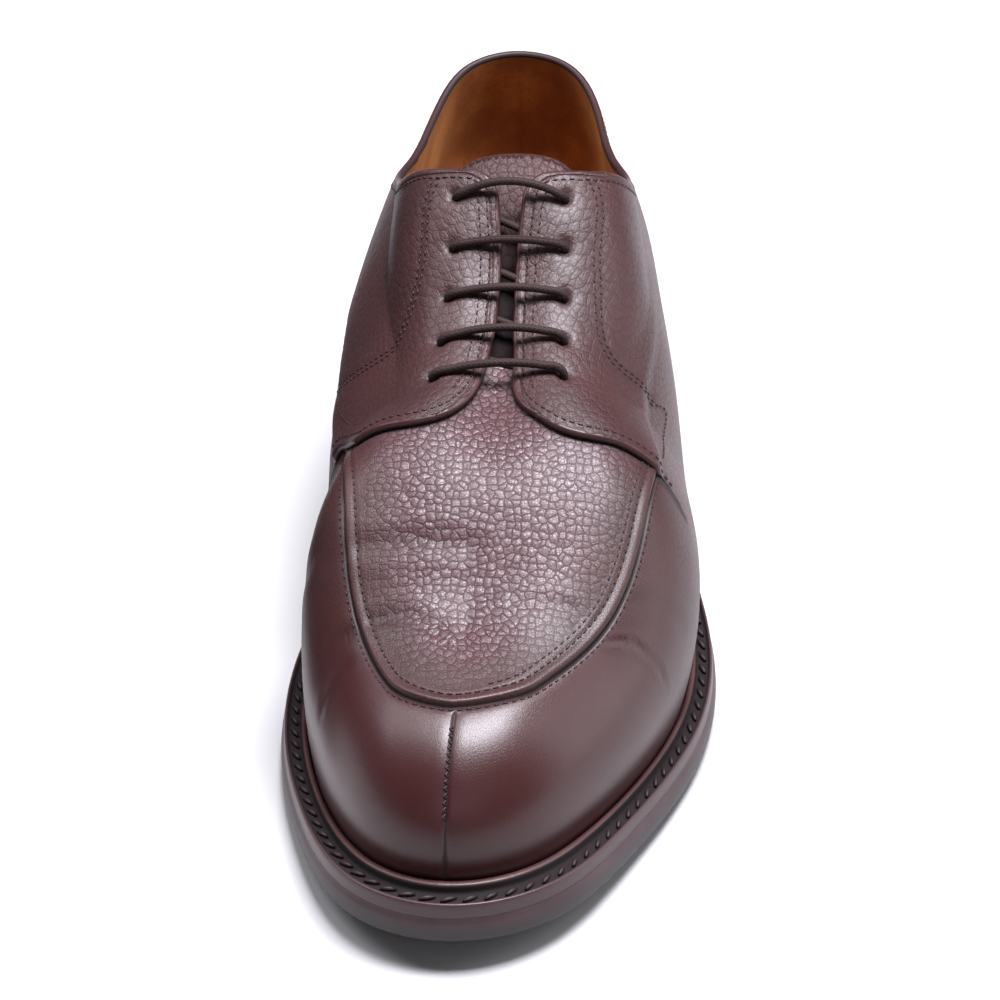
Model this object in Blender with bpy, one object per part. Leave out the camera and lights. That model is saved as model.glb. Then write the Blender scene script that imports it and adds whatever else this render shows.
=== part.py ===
"""Apron toe derby, the left shoe of a pair, men's size 42 to 43, standing empty on its sole.

The shape of the last is worked out from short tables. A place on the shoe is told by
s, the distance behind the tip of the toe, x, the side (plus is the outer side of the
foot), and z, the height. Tables are in millimetres, and MM turns them to metres.
The empty "left_shoe" sets the middle of the sole's outline over the world's origin,
with the toe towards -Y and the outer side towards +X.
"""

import math

import bmesh
import bpy
import numpy as np
from mathutils import Vector

MM = 0.001

# Driving dimensions
WALL = 2.1                  # vamp leather and lining
QUARTER_WALL = 2.3
SEAM_HEIGHT = 1.2           # raised seam round the apron
SEAM_HALF_WIDTH = 1.9
FLAP_STEP = 1.6             # the quarters lie this far above the apron at their front edge
FLAP_FADE = 2.2             # rows of FOOT_LINE over which that step dies away
CORNER_RADIUS = 7.0         # where the facings turn into the topline
FACING_END = 185.0          # there are no facings behind this
TONGUE_THICKNESS = 2.3
EYELET_RADIUS = 2.4
LACE_RADIUS = 1.25
SEAT_DEPTH = 3.7            # the upper and the insole reach this far below the rim
INSOLE_TOP = 0.6            # below the rim
INSOLE_GAP = 0.6            # from the edge of the insole to the inside of the wall
WELT_GAP = 0.4              # from the outside of the wall to the welt
WELT_THICKNESS = 4.0
SOLE_SIDE = 10.5            # from the rim of the welt down to the edge of the sole
TREAD_STEP = 2.1            # the tread pad reaches this far below the edge of the sole
TREAD_INSET = 4.5
HEEL_BREAST = 8.35          # front face of the heel, in rows of FOOT_LINE
HEEL_TAPER = 1.6            # the heel is this much smaller all round at the ground
TOP_PIECE_HEIGHT = 6.5
PIECE_GAP = 0.3             # left between two pieces that touch


def table(columns, *rows):
    """A short table, each column under its own name."""
    names = columns.split()
    return {name: np.array([row[k] for row in rows], float) for k, name in enumerate(names)}


# The line where the upper meets the welt, a row for each section of the last. ridge_s is
# where that section reaches the ridge of the instep, and sweep bends it towards the toe.
FOOT_LINE = table(
    "inner_s inner_x outer_s outer_x ridge_s sweep",
    (9.5, -8.0, 9.5, -8.0, 60.0, 0.0),
    (15.0, -22.0, 15.0, 8.7, 61.5, 0.0),
    (30.0, -33.0, 32.0, 23.2, 64.5, 0.0),
    (52.0, -41.0, 56.0, 36.2, 73.0, -2.0),
    (82.0, -45.8, 84.0, 46.2, 98.0, -7.0),
    (118.0, -42.4, 116.0, 48.6, 124.5, -11.0),
    (146.0, -33.6, 146.0, 44.0, 148.0, -7.0),
    (174.0, -31.8, 176.0, 39.6, 176.0, -2.0),
    (204.0, -31.4, 208.0, 35.0, 206.0, 0.0),
    (238.0, -30.6, 240.0, 31.2, 236.0, 0.0),
    (265.0, -26.5, 266.0, 27.5, 256.0, 0.0),
    (286.0, -18.0, 286.0, 18.8, 259.0, 0.0),
    (294.0, 0.5, 294.0, 0.5, 259.5, 0.0),
)

# Height of the rim of the welt, and of the tread on the ground
RIM = table(
    "s height",
    (0, 20.4), (30, 15.8), (70, 13.0), (105, 12.8), (150, 18.0), (200, 27.5), (245, 32.5), (302, 35.0),
)
TREAD = table(
    "s height",
    (0, 8.0), (15, 5.2), (35, 2.5), (60, 0.5), (76, 0), (110, 0), (150, 5.2), (184, 12.2), (205, 18.5),
    (302, 26.0),
)

# The ridge along the middle of the toe and instep
RIDGE = table(
    "s height",
    (8, 44), (36, 50.7), (62, 58.4), (92, 77.0), (122, 89.3), (145, 100.0), (168, 116.6),
    (205, 133.5), (245, 139), (300, 143),
)
RIDGE_SIDE = table("s x", (0, -8.3), (36, -6), (80, -3), (122, 0.8), (168, 2.5), (220, 1.5), (302, 0.5))
CROWN = table("s drop", (0, 0.0012), (40, 0.0014), (90, 0.0020), (125, 0.0015), (160, 0), (300, 0))
# The laces press the ridge flat between the facings
LACED_DIP = table("s depth", (86, 0), (104, 1.5), (119, 3.6), (134, 3.6), (151, 3.2), (161, 1.5),
                  (172, 0), (302, 0))
LACED_WIDTH = 10.5

# How the wall turns over into the top: the width of the turn on each side, and its roundness
SHOULDER = table(
    "s inner outer",
    (9, 30, 30), (50, 31, 30), (90, 22, 28), (125, 41, 43.5), (160, 60, 60), (294, 60, 60),
)
ROUNDNESS = table(
    "s side top",
    (9, 2.3, 2.2), (50, 2.4, 2.35), (100, 3.4, 2.6), (135, 2.8, 2.4), (170, 3.6, 3.5),
    (205, 4.1, 3.2), (240, 2.6, 1.75), (294, 2.2, 1.35),
)
BULGE = table(
    "s inner outer",
    (9, 4.5, 4.3), (60, 2.4, 5.2), (110, 1.8, 3.4), (150, 11.6, 4.2), (185, 11.4, 4.7),
    (220, 6.5, 5.6), (250, 1.2, 1.2), (294, 2.4, 5.2),
)
BULGE_HEIGHT = 65.0

# Seams and edges
APRON_SEAM = table("s inward", (9, 29.3), (30, 20.0), (54, 16.0), (90, 12.0), (117, 9.4))
WELT_MARGIN = table("s width", (9, 9.0), (50, 6.3), (110, 6.0), (160, 5.6), (200, 5.5), (250, 6), (294, 7.5))
FACING_GAP = table("s half", (60, 4.6), (124, 4.4), (138, 3.1), (152, 2.8), (168, 4.0), (300, 4.0))
TOPLINE = table(
    "s height",
    (150, 122), (162, 121), (168, 119.3), (176, 115.0), (184, 108.4), (194, 101.5), (208, 94.8),
    (225, 88.4), (240, 86.4), (255, 87.2), (270, 90.0), (281, 93.4), (291, 95.8), (300, 96.2),
)
EYELETS = table("s aside", (121.5, 15.8), (132.5, 15.0), (143.8, 14.5), (154.8, 14.0), (165.5, 13.8))

TOE_ROW, THROAT_ROW, HEEL_ROW = 0.0, 5.0, 12.0


def smooth(knots, values):
    """A curve through the rows of a table that never swings past them."""
    t, v = np.asarray(knots, float), np.asarray(values, float)
    h = np.diff(t)
    slope = np.diff(v) / h
    m = np.zeros_like(v)
    m[0], m[-1] = slope[0], slope[-1]
    for i in range(1, len(t) - 1):
        if slope[i - 1] * slope[i] > 0:
            before, after = 2 * h[i] + h[i - 1], h[i] + 2 * h[i - 1]
            m[i] = (before + after) / (before / slope[i - 1] + after / slope[i])

    def read(x):
        x = np.clip(np.asarray(x, float), t[0], t[-1])
        i = np.clip(np.searchsorted(t, x, side="right") - 1, 0, len(t) - 2)
        q = (x - t[i]) / h[i]
        ends = (1 + 2 * q) * (1 - q) ** 2 * v[i] + q * q * (3 - 2 * q) * v[i + 1]
        return ends + q * (1 - q) ** 2 * h[i] * m[i] + q * q * (q - 1) * h[i] * m[i + 1]

    return read


def spline(knots, values, closed=False):
    """A natural cubic spline, or a closed one whose last row repeats the first."""
    t, v = np.asarray(knots, float), np.asarray(values, float)
    h = np.diff(t)
    count = len(t) - 1 if closed else len(t)
    matrix = np.zeros((count, count))
    right = np.zeros((count,) + v.shape[1:])
    for i in range(count):
        if not closed and i in (0, count - 1):
            matrix[i, i] = 1
            continue
        before, after = h[i - 1], h[i]
        matrix[i, (i - 1) % count] += before
        matrix[i, i] += 2 * (before + after)
        matrix[i, (i + 1) % count] += after
        previous = v[count - 1] if i == 0 else v[i - 1]
        right[i] = 6 * ((v[i + 1] - v[i]) / after - (v[i] - previous) / before)
    bend = np.linalg.solve(matrix, right)
    if closed:
        bend = np.concatenate([bend, bend[:1]])

    def read(x):
        x = np.asarray(x, float)
        x = (x - t[0]) % (t[-1] - t[0]) + t[0] if closed else np.clip(x, t[0], t[-1])
        i = np.clip(np.searchsorted(t, x, side="right") - 1, 0, len(t) - 2)
        shape = x.shape + (1,) * (v.ndim - 1)
        width = h[i].reshape(shape)
        a = (t[i + 1] - x).reshape(shape) / width
        b = (x - t[i]).reshape(shape) / width
        return a * v[i] + b * v[i + 1] + ((a**3 - a) * bend[i] + (b**3 - b) * bend[i + 1]) * width**2 / 6

    return read


def read_column(rows, name, curve=smooth):
    return curve(rows["s"], rows[name])


rim = read_column(RIM, "height", spline)
tread = read_column(TREAD, "height")
ridge = read_column(RIDGE, "height", spline)
ridge_x = read_column(RIDGE_SIDE, "x", spline)
crown = read_column(CROWN, "drop")
laced_dip = read_column(LACED_DIP, "depth")
topline = read_column(TOPLINE, "height", spline)
seam_inward = read_column(APRON_SEAM, "inward")
welt_margin = read_column(WELT_MARGIN, "width")
facing_gap = read_column(FACING_GAP, "half")
side_power = read_column(ROUNDNESS, "side")
top_power = read_column(ROUNDNESS, "top")
shoulder = {side: read_column(SHOULDER, name) for side, name in ((-1, "inner"), (1, "outer"))}
bulge = {side: read_column(BULGE, name) for side, name in ((-1, "inner"), (1, "outer"))}

# The foot line is one closed curve: heel, inner side, toe, outer side, heel. Its knots are
# spaced by a power of their distance, which keeps the curve even where they lie close.
CHORD_POWER = 0.8
around_s = np.concatenate([FOOT_LINE["inner_s"][::-1], FOOT_LINE["outer_s"][1:]])
around_x = np.concatenate([FOOT_LINE["inner_x"][::-1], FOOT_LINE["outer_x"][1:]])
around = np.stack([around_x, around_s], axis=1)
along = np.append(0, np.cumsum(np.linalg.norm(np.diff(around, axis=0), axis=1) ** CHORD_POWER))
foot_curve = spline(along, around, closed=True)
rows = np.arange(len(FOOT_LINE["inner_s"]), dtype=float)
row_places = smooth(np.concatenate([-rows[::-1], rows[1:]]), along)
ridge_station = smooth(rows, FOOT_LINE["ridge_s"])
sweep = smooth(rows, FOOT_LINE["sweep"])


def foot(w):
    """Point (x, s) on the foot line. w counts rows from the toe, minus on the inner side."""
    w = (np.asarray(w, float) + HEEL_ROW) % (2 * HEEL_ROW) - HEEL_ROW
    return foot_curve(row_places(w))


def foot_outward(w):
    """Point on the foot line, and the direction straight out of it, both in plan."""
    step = 1e-3
    run = foot(w + step) - foot(w - step)
    run /= np.linalg.norm(run, axis=-1, keepdims=True)
    return foot(w), np.stack([run[..., 1], -run[..., 0]], axis=-1)


def crest(s):
    """Height of the ridge once the shoe is laced."""
    return ridge(s) - laced_dip(s)


class Section:
    """One line of the last's surface, from the foot line up to the ridge of the instep.

    It rises as a rounded turn, then runs straight to the ridge. The bulge pushes the wall
    out half way up, and the sweep bends the line towards the toe.
    """

    SAMPLES = 70
    STRAIGHT_SAMPLES = 12
    SWEEP_LEAN = 1.3

    def __init__(self, w):
        w = (w + HEEL_ROW) % (2 * HEEL_ROW) - HEEL_ROW
        side, row = (-1 if w < 0 else 1), abs(w)
        x0, s0 = foot(w)
        end_s = ridge_station(row)
        end_x = ridge_x(end_s)
        reach = math.hypot(end_s - s0, end_x - x0)
        turn = min(float(shoulder[side](s0)), reach)
        a, b = side_power(s0), top_power(s0)
        angle = np.linspace(0, math.pi / 2, self.SAMPLES)
        inward = turn * (1 - np.cos(angle) ** (2 / a))
        rise = np.sin(angle) ** (2 / b)
        if reach > turn + 0.01:
            straight = np.linspace(turn, reach, self.STRAIGHT_SAMPLES)[1:]
            inward = np.concatenate([inward, straight])
            rise = np.concatenate([rise, np.ones(len(straight))])
        share = inward / reach
        s = s0 + (end_s - s0) * share + sweep(row) * np.sin(math.pi * share**self.SWEEP_LEAN)
        x = x0 + (end_x - x0) * share
        top = ridge(s) - crown(s) * (x - ridge_x(s)) ** 2
        z = rim(s0) + (top - rim(s0)) * rise
        out = bulge[side](s0) * np.sin(math.pi * np.clip((z - rim(s0)) / BULGE_HEIGHT, 0, 1))
        z = z - laced_dip(s) * np.exp(-(((x - ridge_x(s)) / LACED_WIDTH) ** 2))
        self.points = np.stack(
            [x - (end_x - x0) / reach * out, s - (end_s - s0) / reach * out, z], axis=1
        )
        self.inward = inward
        self.arc = np.append(0, np.cumsum(np.linalg.norm(np.diff(self.points, axis=0), axis=1)))

    def at(self, arc):
        return np.stack([np.interp(arc, self.arc, self.points[:, k]) for k in range(3)], axis=-1)

    def arc_of_inward(self, inward):
        return float(np.interp(inward, self.inward, self.arc))

    def arc_of_edge(self):
        """How far up the edge of the facing or the topline cuts this section."""
        x, s, z = self.points.T
        from_facing = np.where(s < FACING_END, np.abs(x - ridge_x(s)) - facing_gap(s), np.inf)
        below_topline = topline(s) - z
        inside = np.minimum(from_facing, below_topline)
        corner = (from_facing < CORNER_RADIUS) & (below_topline < CORNER_RADIUS)
        near_facing = np.minimum(from_facing, CORNER_RADIUS)
        round_off = CORNER_RADIUS - np.hypot(CORNER_RADIUS - near_facing, CORNER_RADIUS - below_topline)
        inside = np.where(corner, round_off, inside)
        k = int(np.argmax(inside < 0))
        share = inside[k - 1] / (inside[k - 1] - inside[k])
        return float(self.arc[k - 1] + share * (self.arc[k] - self.arc[k - 1]))


# The grid of the upper: sections round the foot line, and rows up each section
FRONT_SECTIONS = np.concatenate([np.linspace(0, 3, 11)[:-1], np.linspace(3, THROAT_ROW, 9)])
REAR_SECTIONS = np.concatenate(
    [np.linspace(THROAT_ROW, 7.2, 11)[1:], np.linspace(7.2, 9, 6)[1:], np.linspace(9, HEEL_ROW, 9)[1:]]
)
STATIONS = np.concatenate([FRONT_SECTIONS, REAR_SECTIONS])
THROAT = len(FRONT_SECTIONS) - 1
LAST = len(STATIONS) - 1
WALL_CELLS, SEAM_CELLS, APRON_CELLS = 5, 4, 6
SEAM_ROW = WALL_CELLS + SEAM_CELLS // 2
EDGE_ROW = WALL_CELLS + SEAM_CELLS + APRON_CELLS
SEAM_PROFILE = (0.0, 0.85, 1.0, 0.75, 0.0)
FLAP_RAMP = (0.0, 0.35, 0.8, 1.0)
EVEN_AFTER = 1.5            # rows of FOOT_LINE behind the throat where the cells are all one height


def flap_level(row):
    """How far the quarter's outer face lies above the last at a row behind the throat."""
    return FLAP_STEP * max(0.0, 1 - (row - THROAT_ROW) / FLAP_FADE)


def section_rows(index, section):
    """Distances up a section at which its rows lie, from the foot line to the edge."""
    front = index <= THROAT
    if front:
        edge = section.arc[-1] - FACING_GAP["half"][0]
    else:
        edge = section.arc_of_edge()
    seam = section.arc_of_inward(seam_inward(section.points[0][1]))
    lower = np.linspace(0, seam - SEAM_HALF_WIDTH, WALL_CELLS + 1)
    middle = seam + np.linspace(-SEAM_HALF_WIDTH, SEAM_HALF_WIDTH, SEAM_CELLS + 1)
    upper = np.linspace(seam + SEAM_HALF_WIDTH, edge, APRON_CELLS + 1)
    sewn = np.concatenate([lower, middle[1:], upper[1:]])
    if front:
        return sewn
    even = np.linspace(0, edge, EDGE_ROW + 1)
    away = min(1.0, (STATIONS[index] - THROAT_ROW) / EVEN_AFTER)
    return sewn * (1 - away) + even * away


def last_grid():
    """Points and outward directions on the last, as arrays over ring place and row."""
    ring = np.concatenate([-STATIONS[LAST - 1:0:-1], STATIONS])
    sections = [Section(w) for w in ring]
    points = np.zeros((len(ring), EDGE_ROW + 2, 3))
    for k, section in enumerate(sections):
        index = abs(k - (LAST - 1))
        points[k, :-1] = section.at(section_rows(index, section))
        points[k, -1] = section.points[-1]
    body = points[:, :-1]
    across = np.roll(body, -1, axis=0) - np.roll(body, 1, axis=0)
    upward = np.gradient(body, axis=1)
    normals = np.zeros_like(points)
    normals[:, :-1] = np.cross(across, upward)
    lift = (crest(points[:, -1, 1] + 1) - crest(points[:, -1, 1] - 1)) / 2
    normals[:, -1] = np.stack([np.zeros_like(lift), -lift, np.ones_like(lift)], axis=-1)
    normals /= np.linalg.norm(normals, axis=-1, keepdims=True)
    return points, normals


def new_object(name, bm, colour, roughness, smooth_angle=35):
    """Closes the mesh, gives it a material, and hangs it on the shoe's empty."""
    bmesh.ops.remove_doubles(bm, verts=bm.verts, dist=1e-7)
    bmesh.ops.recalc_face_normals(bm, faces=bm.faces)
    mesh = bpy.data.meshes.new(name)
    bm.to_mesh(mesh)
    bm.free()
    mesh.shade_smooth()
    mesh.set_sharp_from_angle(angle=math.radians(smooth_angle))
    item = bpy.data.objects.new(name, mesh)
    return dress(item, colour, roughness)


def dress(item, colour, roughness):
    bpy.context.scene.collection.objects.link(item)
    material = bpy.data.materials.new(item.name)
    material.use_nodes = True
    surface = material.node_tree.nodes["Principled BSDF"]
    surface.inputs["Base Color"].default_value = (*colour, 1)
    surface.inputs["Roughness"].default_value = roughness
    item.data.materials.append(material)
    item.parent = shoe
    return item


def add_vertices(bm, points):
    """Adds an array of points in millimetres and returns the vertices in its shape."""
    flat = [bm.verts.new(p) for p in np.asarray(points).reshape(-1, 3) * MM]
    grid = np.empty(len(flat), object)
    grid[:] = flat
    return grid.reshape(np.shape(points)[:-1])


def add_face(bm, corners):
    """A face through the corners, leaving out any that repeat."""
    kept = [v for k, v in enumerate(corners) if v is not corners[k - 1]]
    if len(kept) > 2:
        bm.faces.new(kept)


def add_strip(bm, one, other, closed=False):
    """Faces between two rows of vertices of the same length."""
    count = len(one) if closed else len(one) - 1
    for k in range(count):
        n = (k + 1) % len(one)
        add_face(bm, (one[k], one[n], other[n], other[k]))


def add_ladder(bm, ring):
    """Fills a ring, whose two halves lie on either side of the foot, with rungs across it."""
    last = len(ring) - 1
    for k in range(len(ring) // 2):
        if last - k - 1 > k:
            add_face(bm, (ring[k], ring[k + 1], ring[last - k - 1], ring[last - k]))


def build_upper():
    """One hollow wall: vamp sides, apron and quarters, open at the collar, throat and sole."""
    points, normals = last_grid()
    count = len(points)
    toe = LAST - 1
    front = range(toe - THROAT, toe + THROAT + 1)
    flap_ring = (toe - THROAT, toe + THROAT)
    raised = np.zeros((count, EDGE_ROW + 2))
    for k in front:
        if k not in flap_ring:
            raised[k, WALL_CELLS:WALL_CELLS + SEAM_CELLS + 1] = np.array(SEAM_PROFILE) * SEAM_HEIGHT
    flap = np.zeros((count, EDGE_ROW + 2))
    for k in range(count):
        station = STATIONS[abs(k - toe)]
        if station >= THROAT_ROW:
            for row in range(SEAM_ROW, EDGE_ROW + 1):
                ramp = FLAP_RAMP[min(row - SEAM_ROW, len(FLAP_RAMP) - 1)]
                flap[k, row] = ramp * flap_level(station)
    depth = np.full((count, EDGE_ROW + 2), -WALL)
    for k in range(count):
        if k not in front:
            depth[k] = flap[k] - QUARTER_WALL
    outer_level = np.where([[k in front] for k in range(count)], raised, flap)

    bm = bmesh.new()
    outer = add_vertices(bm, points + normals * outer_level[..., None])
    inner = add_vertices(bm, points + normals * depth[..., None])
    outer_foot, inner_foot = (
        np.array([list(p) for p in points[:, 0] + normals[:, 0] * level]) for level in (0, -WALL)
    )
    for edge in (outer_foot, inner_foot):
        edge[:, 2] = points[:, 0, 2] - SEAT_DEPTH
    outer_seat = add_vertices(bm, outer_foot)
    inner_seat = add_vertices(bm, inner_foot)

    # The rear side of the step at the flap's edge has vertices of its own.
    above = {}
    for k in flap_ring:
        above[k] = outer[k].copy()
        level = points[k] + normals[k] * flap[k][:, None]
        for row in range(SEAM_ROW + 1, EDGE_ROW + 1):
            above[k][row] = add_vertices(bm, level[row:row + 1])[0]

    # Both sides share the vertices along the ridge.
    for skin in (outer, inner):
        for step in range(1, THROAT + 1):
            bm.verts.remove(skin[toe - step][-1])
            skin[toe - step][-1] = skin[toe + step][-1]
    for k in range(count):
        if k not in front:
            bm.verts.remove(outer[k][-1])
            bm.verts.remove(inner[k][-1])

    def upper_row(k, towards):
        """The outer vertices of a section as the cell on that side of it sees them."""
        if k in flap_ring and towards not in front:
            return above[k]
        return outer[k]

    for k in range(count):
        n = (k + 1) % count
        both_front = k in front and n in front
        rows_here = EDGE_ROW + 2 if both_front else EDGE_ROW + 1
        add_strip(bm, upper_row(k, n)[:rows_here], upper_row(n, k)[:rows_here])
        add_strip(bm, inner[k][:rows_here], inner[n][:rows_here])
        add_face(bm, (outer[k][0], outer[n][0], outer_seat[n], outer_seat[k]))
        add_face(bm, (inner[k][0], inner[n][0], inner_seat[n], inner_seat[k]))
        add_face(bm, (outer_seat[k], outer_seat[n], inner_seat[n], inner_seat[k]))
        if not both_front:
            cut_edge = [upper_row(k, n)[EDGE_ROW], upper_row(n, k)[EDGE_ROW]]
            cut_edge += [outer[n][EDGE_ROW], inner[n][EDGE_ROW], inner[k][EDGE_ROW], outer[k][EDGE_ROW]]
            add_face(bm, cut_edge)
    for k in flap_ring:
        add_strip(bm, outer[k][SEAM_ROW:EDGE_ROW + 1], above[k][SEAM_ROW:EDGE_ROW + 1])
        add_strip(bm, outer[k][EDGE_ROW:], inner[k][EDGE_ROW:])
    upper = new_object("upper", bm, (0.09, 0.04, 0.035), 0.4)
    punch_eyelets(upper)
    return upper


def nearest_section(side, s, aside):
    """The row along the foot line, and the distance from the ridge down its section, of a
    place on the facing that lies aside from the ridge at s."""
    best = None
    for row in np.arange(THROAT_ROW - 0.6, THROAT_ROW + 2.6, 0.025):
        section = Section(side * row)
        off = np.hypot(section.points[:, 1] - s, np.abs(section.points[:, 0] - ridge_x(s)) - aside)
        k = int(np.argmin(off))
        if best is None or off[k] < best[0]:
            best = (off[k], row, section.arc[-1] - section.arc[k])
    return best[1:]


def place_on_last(side, row, from_ridge):
    """Point on the last and its outward direction, at a distance from the ridge down a section."""
    row_step, arc_step = 0.05, 0.5
    here, ahead, behind = (Section(side * (row + step)) for step in (0, row_step, -row_step))
    arc = here.arc[-1] - from_ridge
    run = ahead.at(ahead.arc[-1] - from_ridge) - behind.at(behind.arc[-1] - from_ridge)
    out = np.cross(run, here.at(arc + arc_step) - here.at(arc - arc_step)) * side
    return here.at(arc), out / np.linalg.norm(out)


def eyelet_places():
    """Side and number to the row, the distance from the ridge and the level of the leather."""
    places = {}
    for side in (-1, 1):
        for number, (s, aside) in enumerate(zip(EYELETS["s"], EYELETS["aside"])):
            row, from_ridge = nearest_section(side, s, aside)
            places[side, number] = np.array([row, from_ridge, flap_level(max(row, THROAT_ROW))])
    return places


def punch_eyelets(upper):
    """Round holes through the facings, cut by hidden pins."""
    bm = bmesh.new()
    for (side, _), (row, from_ridge, _) in eyelets.items():
        point, out = place_on_last(side, row, from_ridge)
        turn = Vector((0, 0, 1)).rotation_difference(Vector(out)).to_matrix().to_4x4()
        turn.translation = Vector(point * MM)
        bmesh.ops.create_cone(
            bm, cap_ends=True, segments=12, radius1=EYELET_RADIUS * MM, radius2=EYELET_RADIUS * MM,
            depth=12 * MM, matrix=turn,
        )
    cutter = new_object("eyelet_pins", bm, (0.5, 0.5, 0.5), 0.5)
    cutter.hide_render = True
    cutter.display_type = "WIRE"
    holes = upper.modifiers.new("eyelets", "BOOLEAN")
    holes.operation = "DIFFERENCE"
    holes.object = cutter


def outline_ring(stations, margin, height):
    """A ring outside the foot line, its margin and height worked out from s on that line."""
    point, outward = foot_outward(stations)
    spot = point + outward * np.reshape(margin(point[:, 1]), (-1, 1))
    return np.column_stack([spot, height(point[:, 1])])


def whole_stations(count):
    """Places all round the foot line, from the heel by the inner side to the toe and back."""
    half = np.linspace(TOE_ROW, HEEL_ROW, count)
    return np.concatenate([-half[:0:-1], half[:-1]])


def heel_stations(count):
    """Places round the heel, from the breast on the inner side to that on the outer."""
    half = np.linspace(HEEL_BREAST, HEEL_ROW, count)
    return np.concatenate([-half[:-1], half[::-1]])


def loft(name, stations, profile, colour, roughness):
    """A solid from rings of margins and heights, the first and last filled across the foot."""
    bm = bmesh.new()
    rings = [add_vertices(bm, outline_ring(stations, margin, height)) for margin, height in profile]
    for one, other in zip(rings, rings[1:]):
        add_strip(bm, one, other, closed=True)
    for ring in (rings[0], rings[-1]):
        add_ladder(bm, ring)
    return new_object(name, bm, colour, roughness)


def beyond_welt(grow):
    """Margins of a ring that lies this far outside the edge of the welt."""
    return lambda s: welt_margin(s) + grow


def under_rim(down):
    return lambda s: rim(s) - down


def level_at(height):
    return lambda s: np.full_like(s, height)


def pad_bottom(s):
    """The tread, which runs into the underside of the sole before the heel."""
    return np.minimum(tread(s), rim(s) - SOLE_SIDE)


def pad_top(s):
    return np.minimum(pad_bottom(s) + TREAD_STEP, rim(s) - SOLE_SIDE)


def build_outsole():
    """The sole with its rounded side, and the tread pad set in below it."""
    profile = [
        (beyond_welt(-0.6), under_rim(WELT_THICKNESS)),
        (beyond_welt(0.6), under_rim(WELT_THICKNESS + 1.2)),
        (beyond_welt(1.0), under_rim(WELT_THICKNESS + 3.6)),
        (beyond_welt(0.5), under_rim(SOLE_SIDE)),
        (beyond_welt(-TREAD_INSET), pad_top),
        (beyond_welt(-TREAD_INSET - 0.8), pad_bottom),
    ]
    return loft("outsole", whole_stations(45), profile, (0.02, 0.018, 0.017), 0.6)


def build_heel():
    """The heel block and the rubber top piece under it."""
    stations = heel_stations(20)
    joint = 0.2 - HEEL_TAPER * 0.6
    block = [
        (beyond_welt(0.2), under_rim(SOLE_SIDE + PIECE_GAP)),
        (beyond_welt(joint), level_at(TOP_PIECE_HEIGHT + PIECE_GAP)),
    ]
    loft("heel_block", stations, block, (0.02, 0.018, 0.017), 0.55)
    top_piece = [
        (beyond_welt(joint), level_at(TOP_PIECE_HEIGHT)),
        (beyond_welt(joint - 0.2), level_at(1.2)),
        (beyond_welt(-0.4 - HEEL_TAPER), level_at(0.0)),
    ]
    loft("heel_top_piece", stations, top_piece, (0.015, 0.015, 0.015), 0.7)


# Across the storm welt, as shares of its width and heights above the rim: the lip that
# stands against the upper, the stitched groove, and the rim outside it.
WELT_SECTION = table(
    "share rise",
    (0.0, -SEAT_DEPTH), (0.0, -0.6), (0.10, 0.6), (0.28, 0.8), (0.42, -1.3), (0.62, -1.5),
    (0.72, 0.0), (0.91, 0.0), (1.0, -1.1), (1.02, -SEAT_DEPTH),
)


def build_welt():
    point, outward = foot_outward(whole_stations(41))
    s = point[:, 1]
    bm = bmesh.new()
    rings = []
    for share, rise in zip(WELT_SECTION["share"], WELT_SECTION["rise"]):
        margin = WELT_GAP + share * (welt_margin(s) - WELT_GAP)
        rings.append(add_vertices(bm, np.column_stack([point + outward * margin[:, None], rim(s) + rise])))
    for one, other in zip(rings, rings[1:] + rings[:1]):
        add_strip(bm, one, other, closed=True)
    return new_object("welt", bm, (0.12, 0.06, 0.04), 0.5)


def build_insole():
    margin = level_at(-WALL - INSOLE_GAP)
    profile = [(margin, under_rim(INSOLE_TOP)), (margin, under_rim(SEAT_DEPTH))]
    return loft("insole", whole_stations(33), profile, (0.35, 0.17, 0.07), 0.6)


# The tongue: how far its outer face lies under the last at each row along the foot line,
# and how wide half of it is.
TONGUE = table(
    "row depth half",
    (4.55, 2.45, 14), (4.85, 2.45, 16), (5.1, 4.1, 19), (5.6, 4.5, 21), (6.2, 5.0, 23),
    (6.8, 5.6, 24), (7.1, 5.9, 20),
)
TONGUE_CELLS = (14, 12)     # along it, and across


def tongue_point(row, share, below):
    """A point of the tongue, at a share of its half width and a depth below its outer face."""
    depth = smooth(TONGUE["row"], TONGUE["depth"])(row) + below
    if share == 0:
        point = Section(row).points[-1]
        slope = crest(point[1] + 0.5) - crest(point[1] - 0.5)
        return point - np.array([0, -slope, 1]) / math.hypot(slope, 1) * depth
    from_ridge = abs(share) * smooth(TONGUE["row"], TONGUE["half"])(row)
    point, out = place_on_last(math.copysign(1, share), row, from_ridge)
    return point - out * depth


def build_tongue():
    along_it = np.linspace(TONGUE["row"][0], TONGUE["row"][-1], TONGUE_CELLS[0] + 1)
    across_it = np.linspace(-1, 1, TONGUE_CELLS[1] + 1)
    bm = bmesh.new()
    top, under = (
        add_vertices(bm, [[tongue_point(row, share, below) for share in across_it] for row in along_it])
        for below in (0.0, TONGUE_THICKNESS)
    )
    for face in (top, under):
        for one, other in zip(face, face[1:]):
            add_strip(bm, one, other)
    for end in (0, -1):
        add_strip(bm, top[end], under[end])
        add_strip(bm, top[:, end], under[:, end])
    return new_object("tongue", bm, (0.10, 0.05, 0.045), 0.45)


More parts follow.
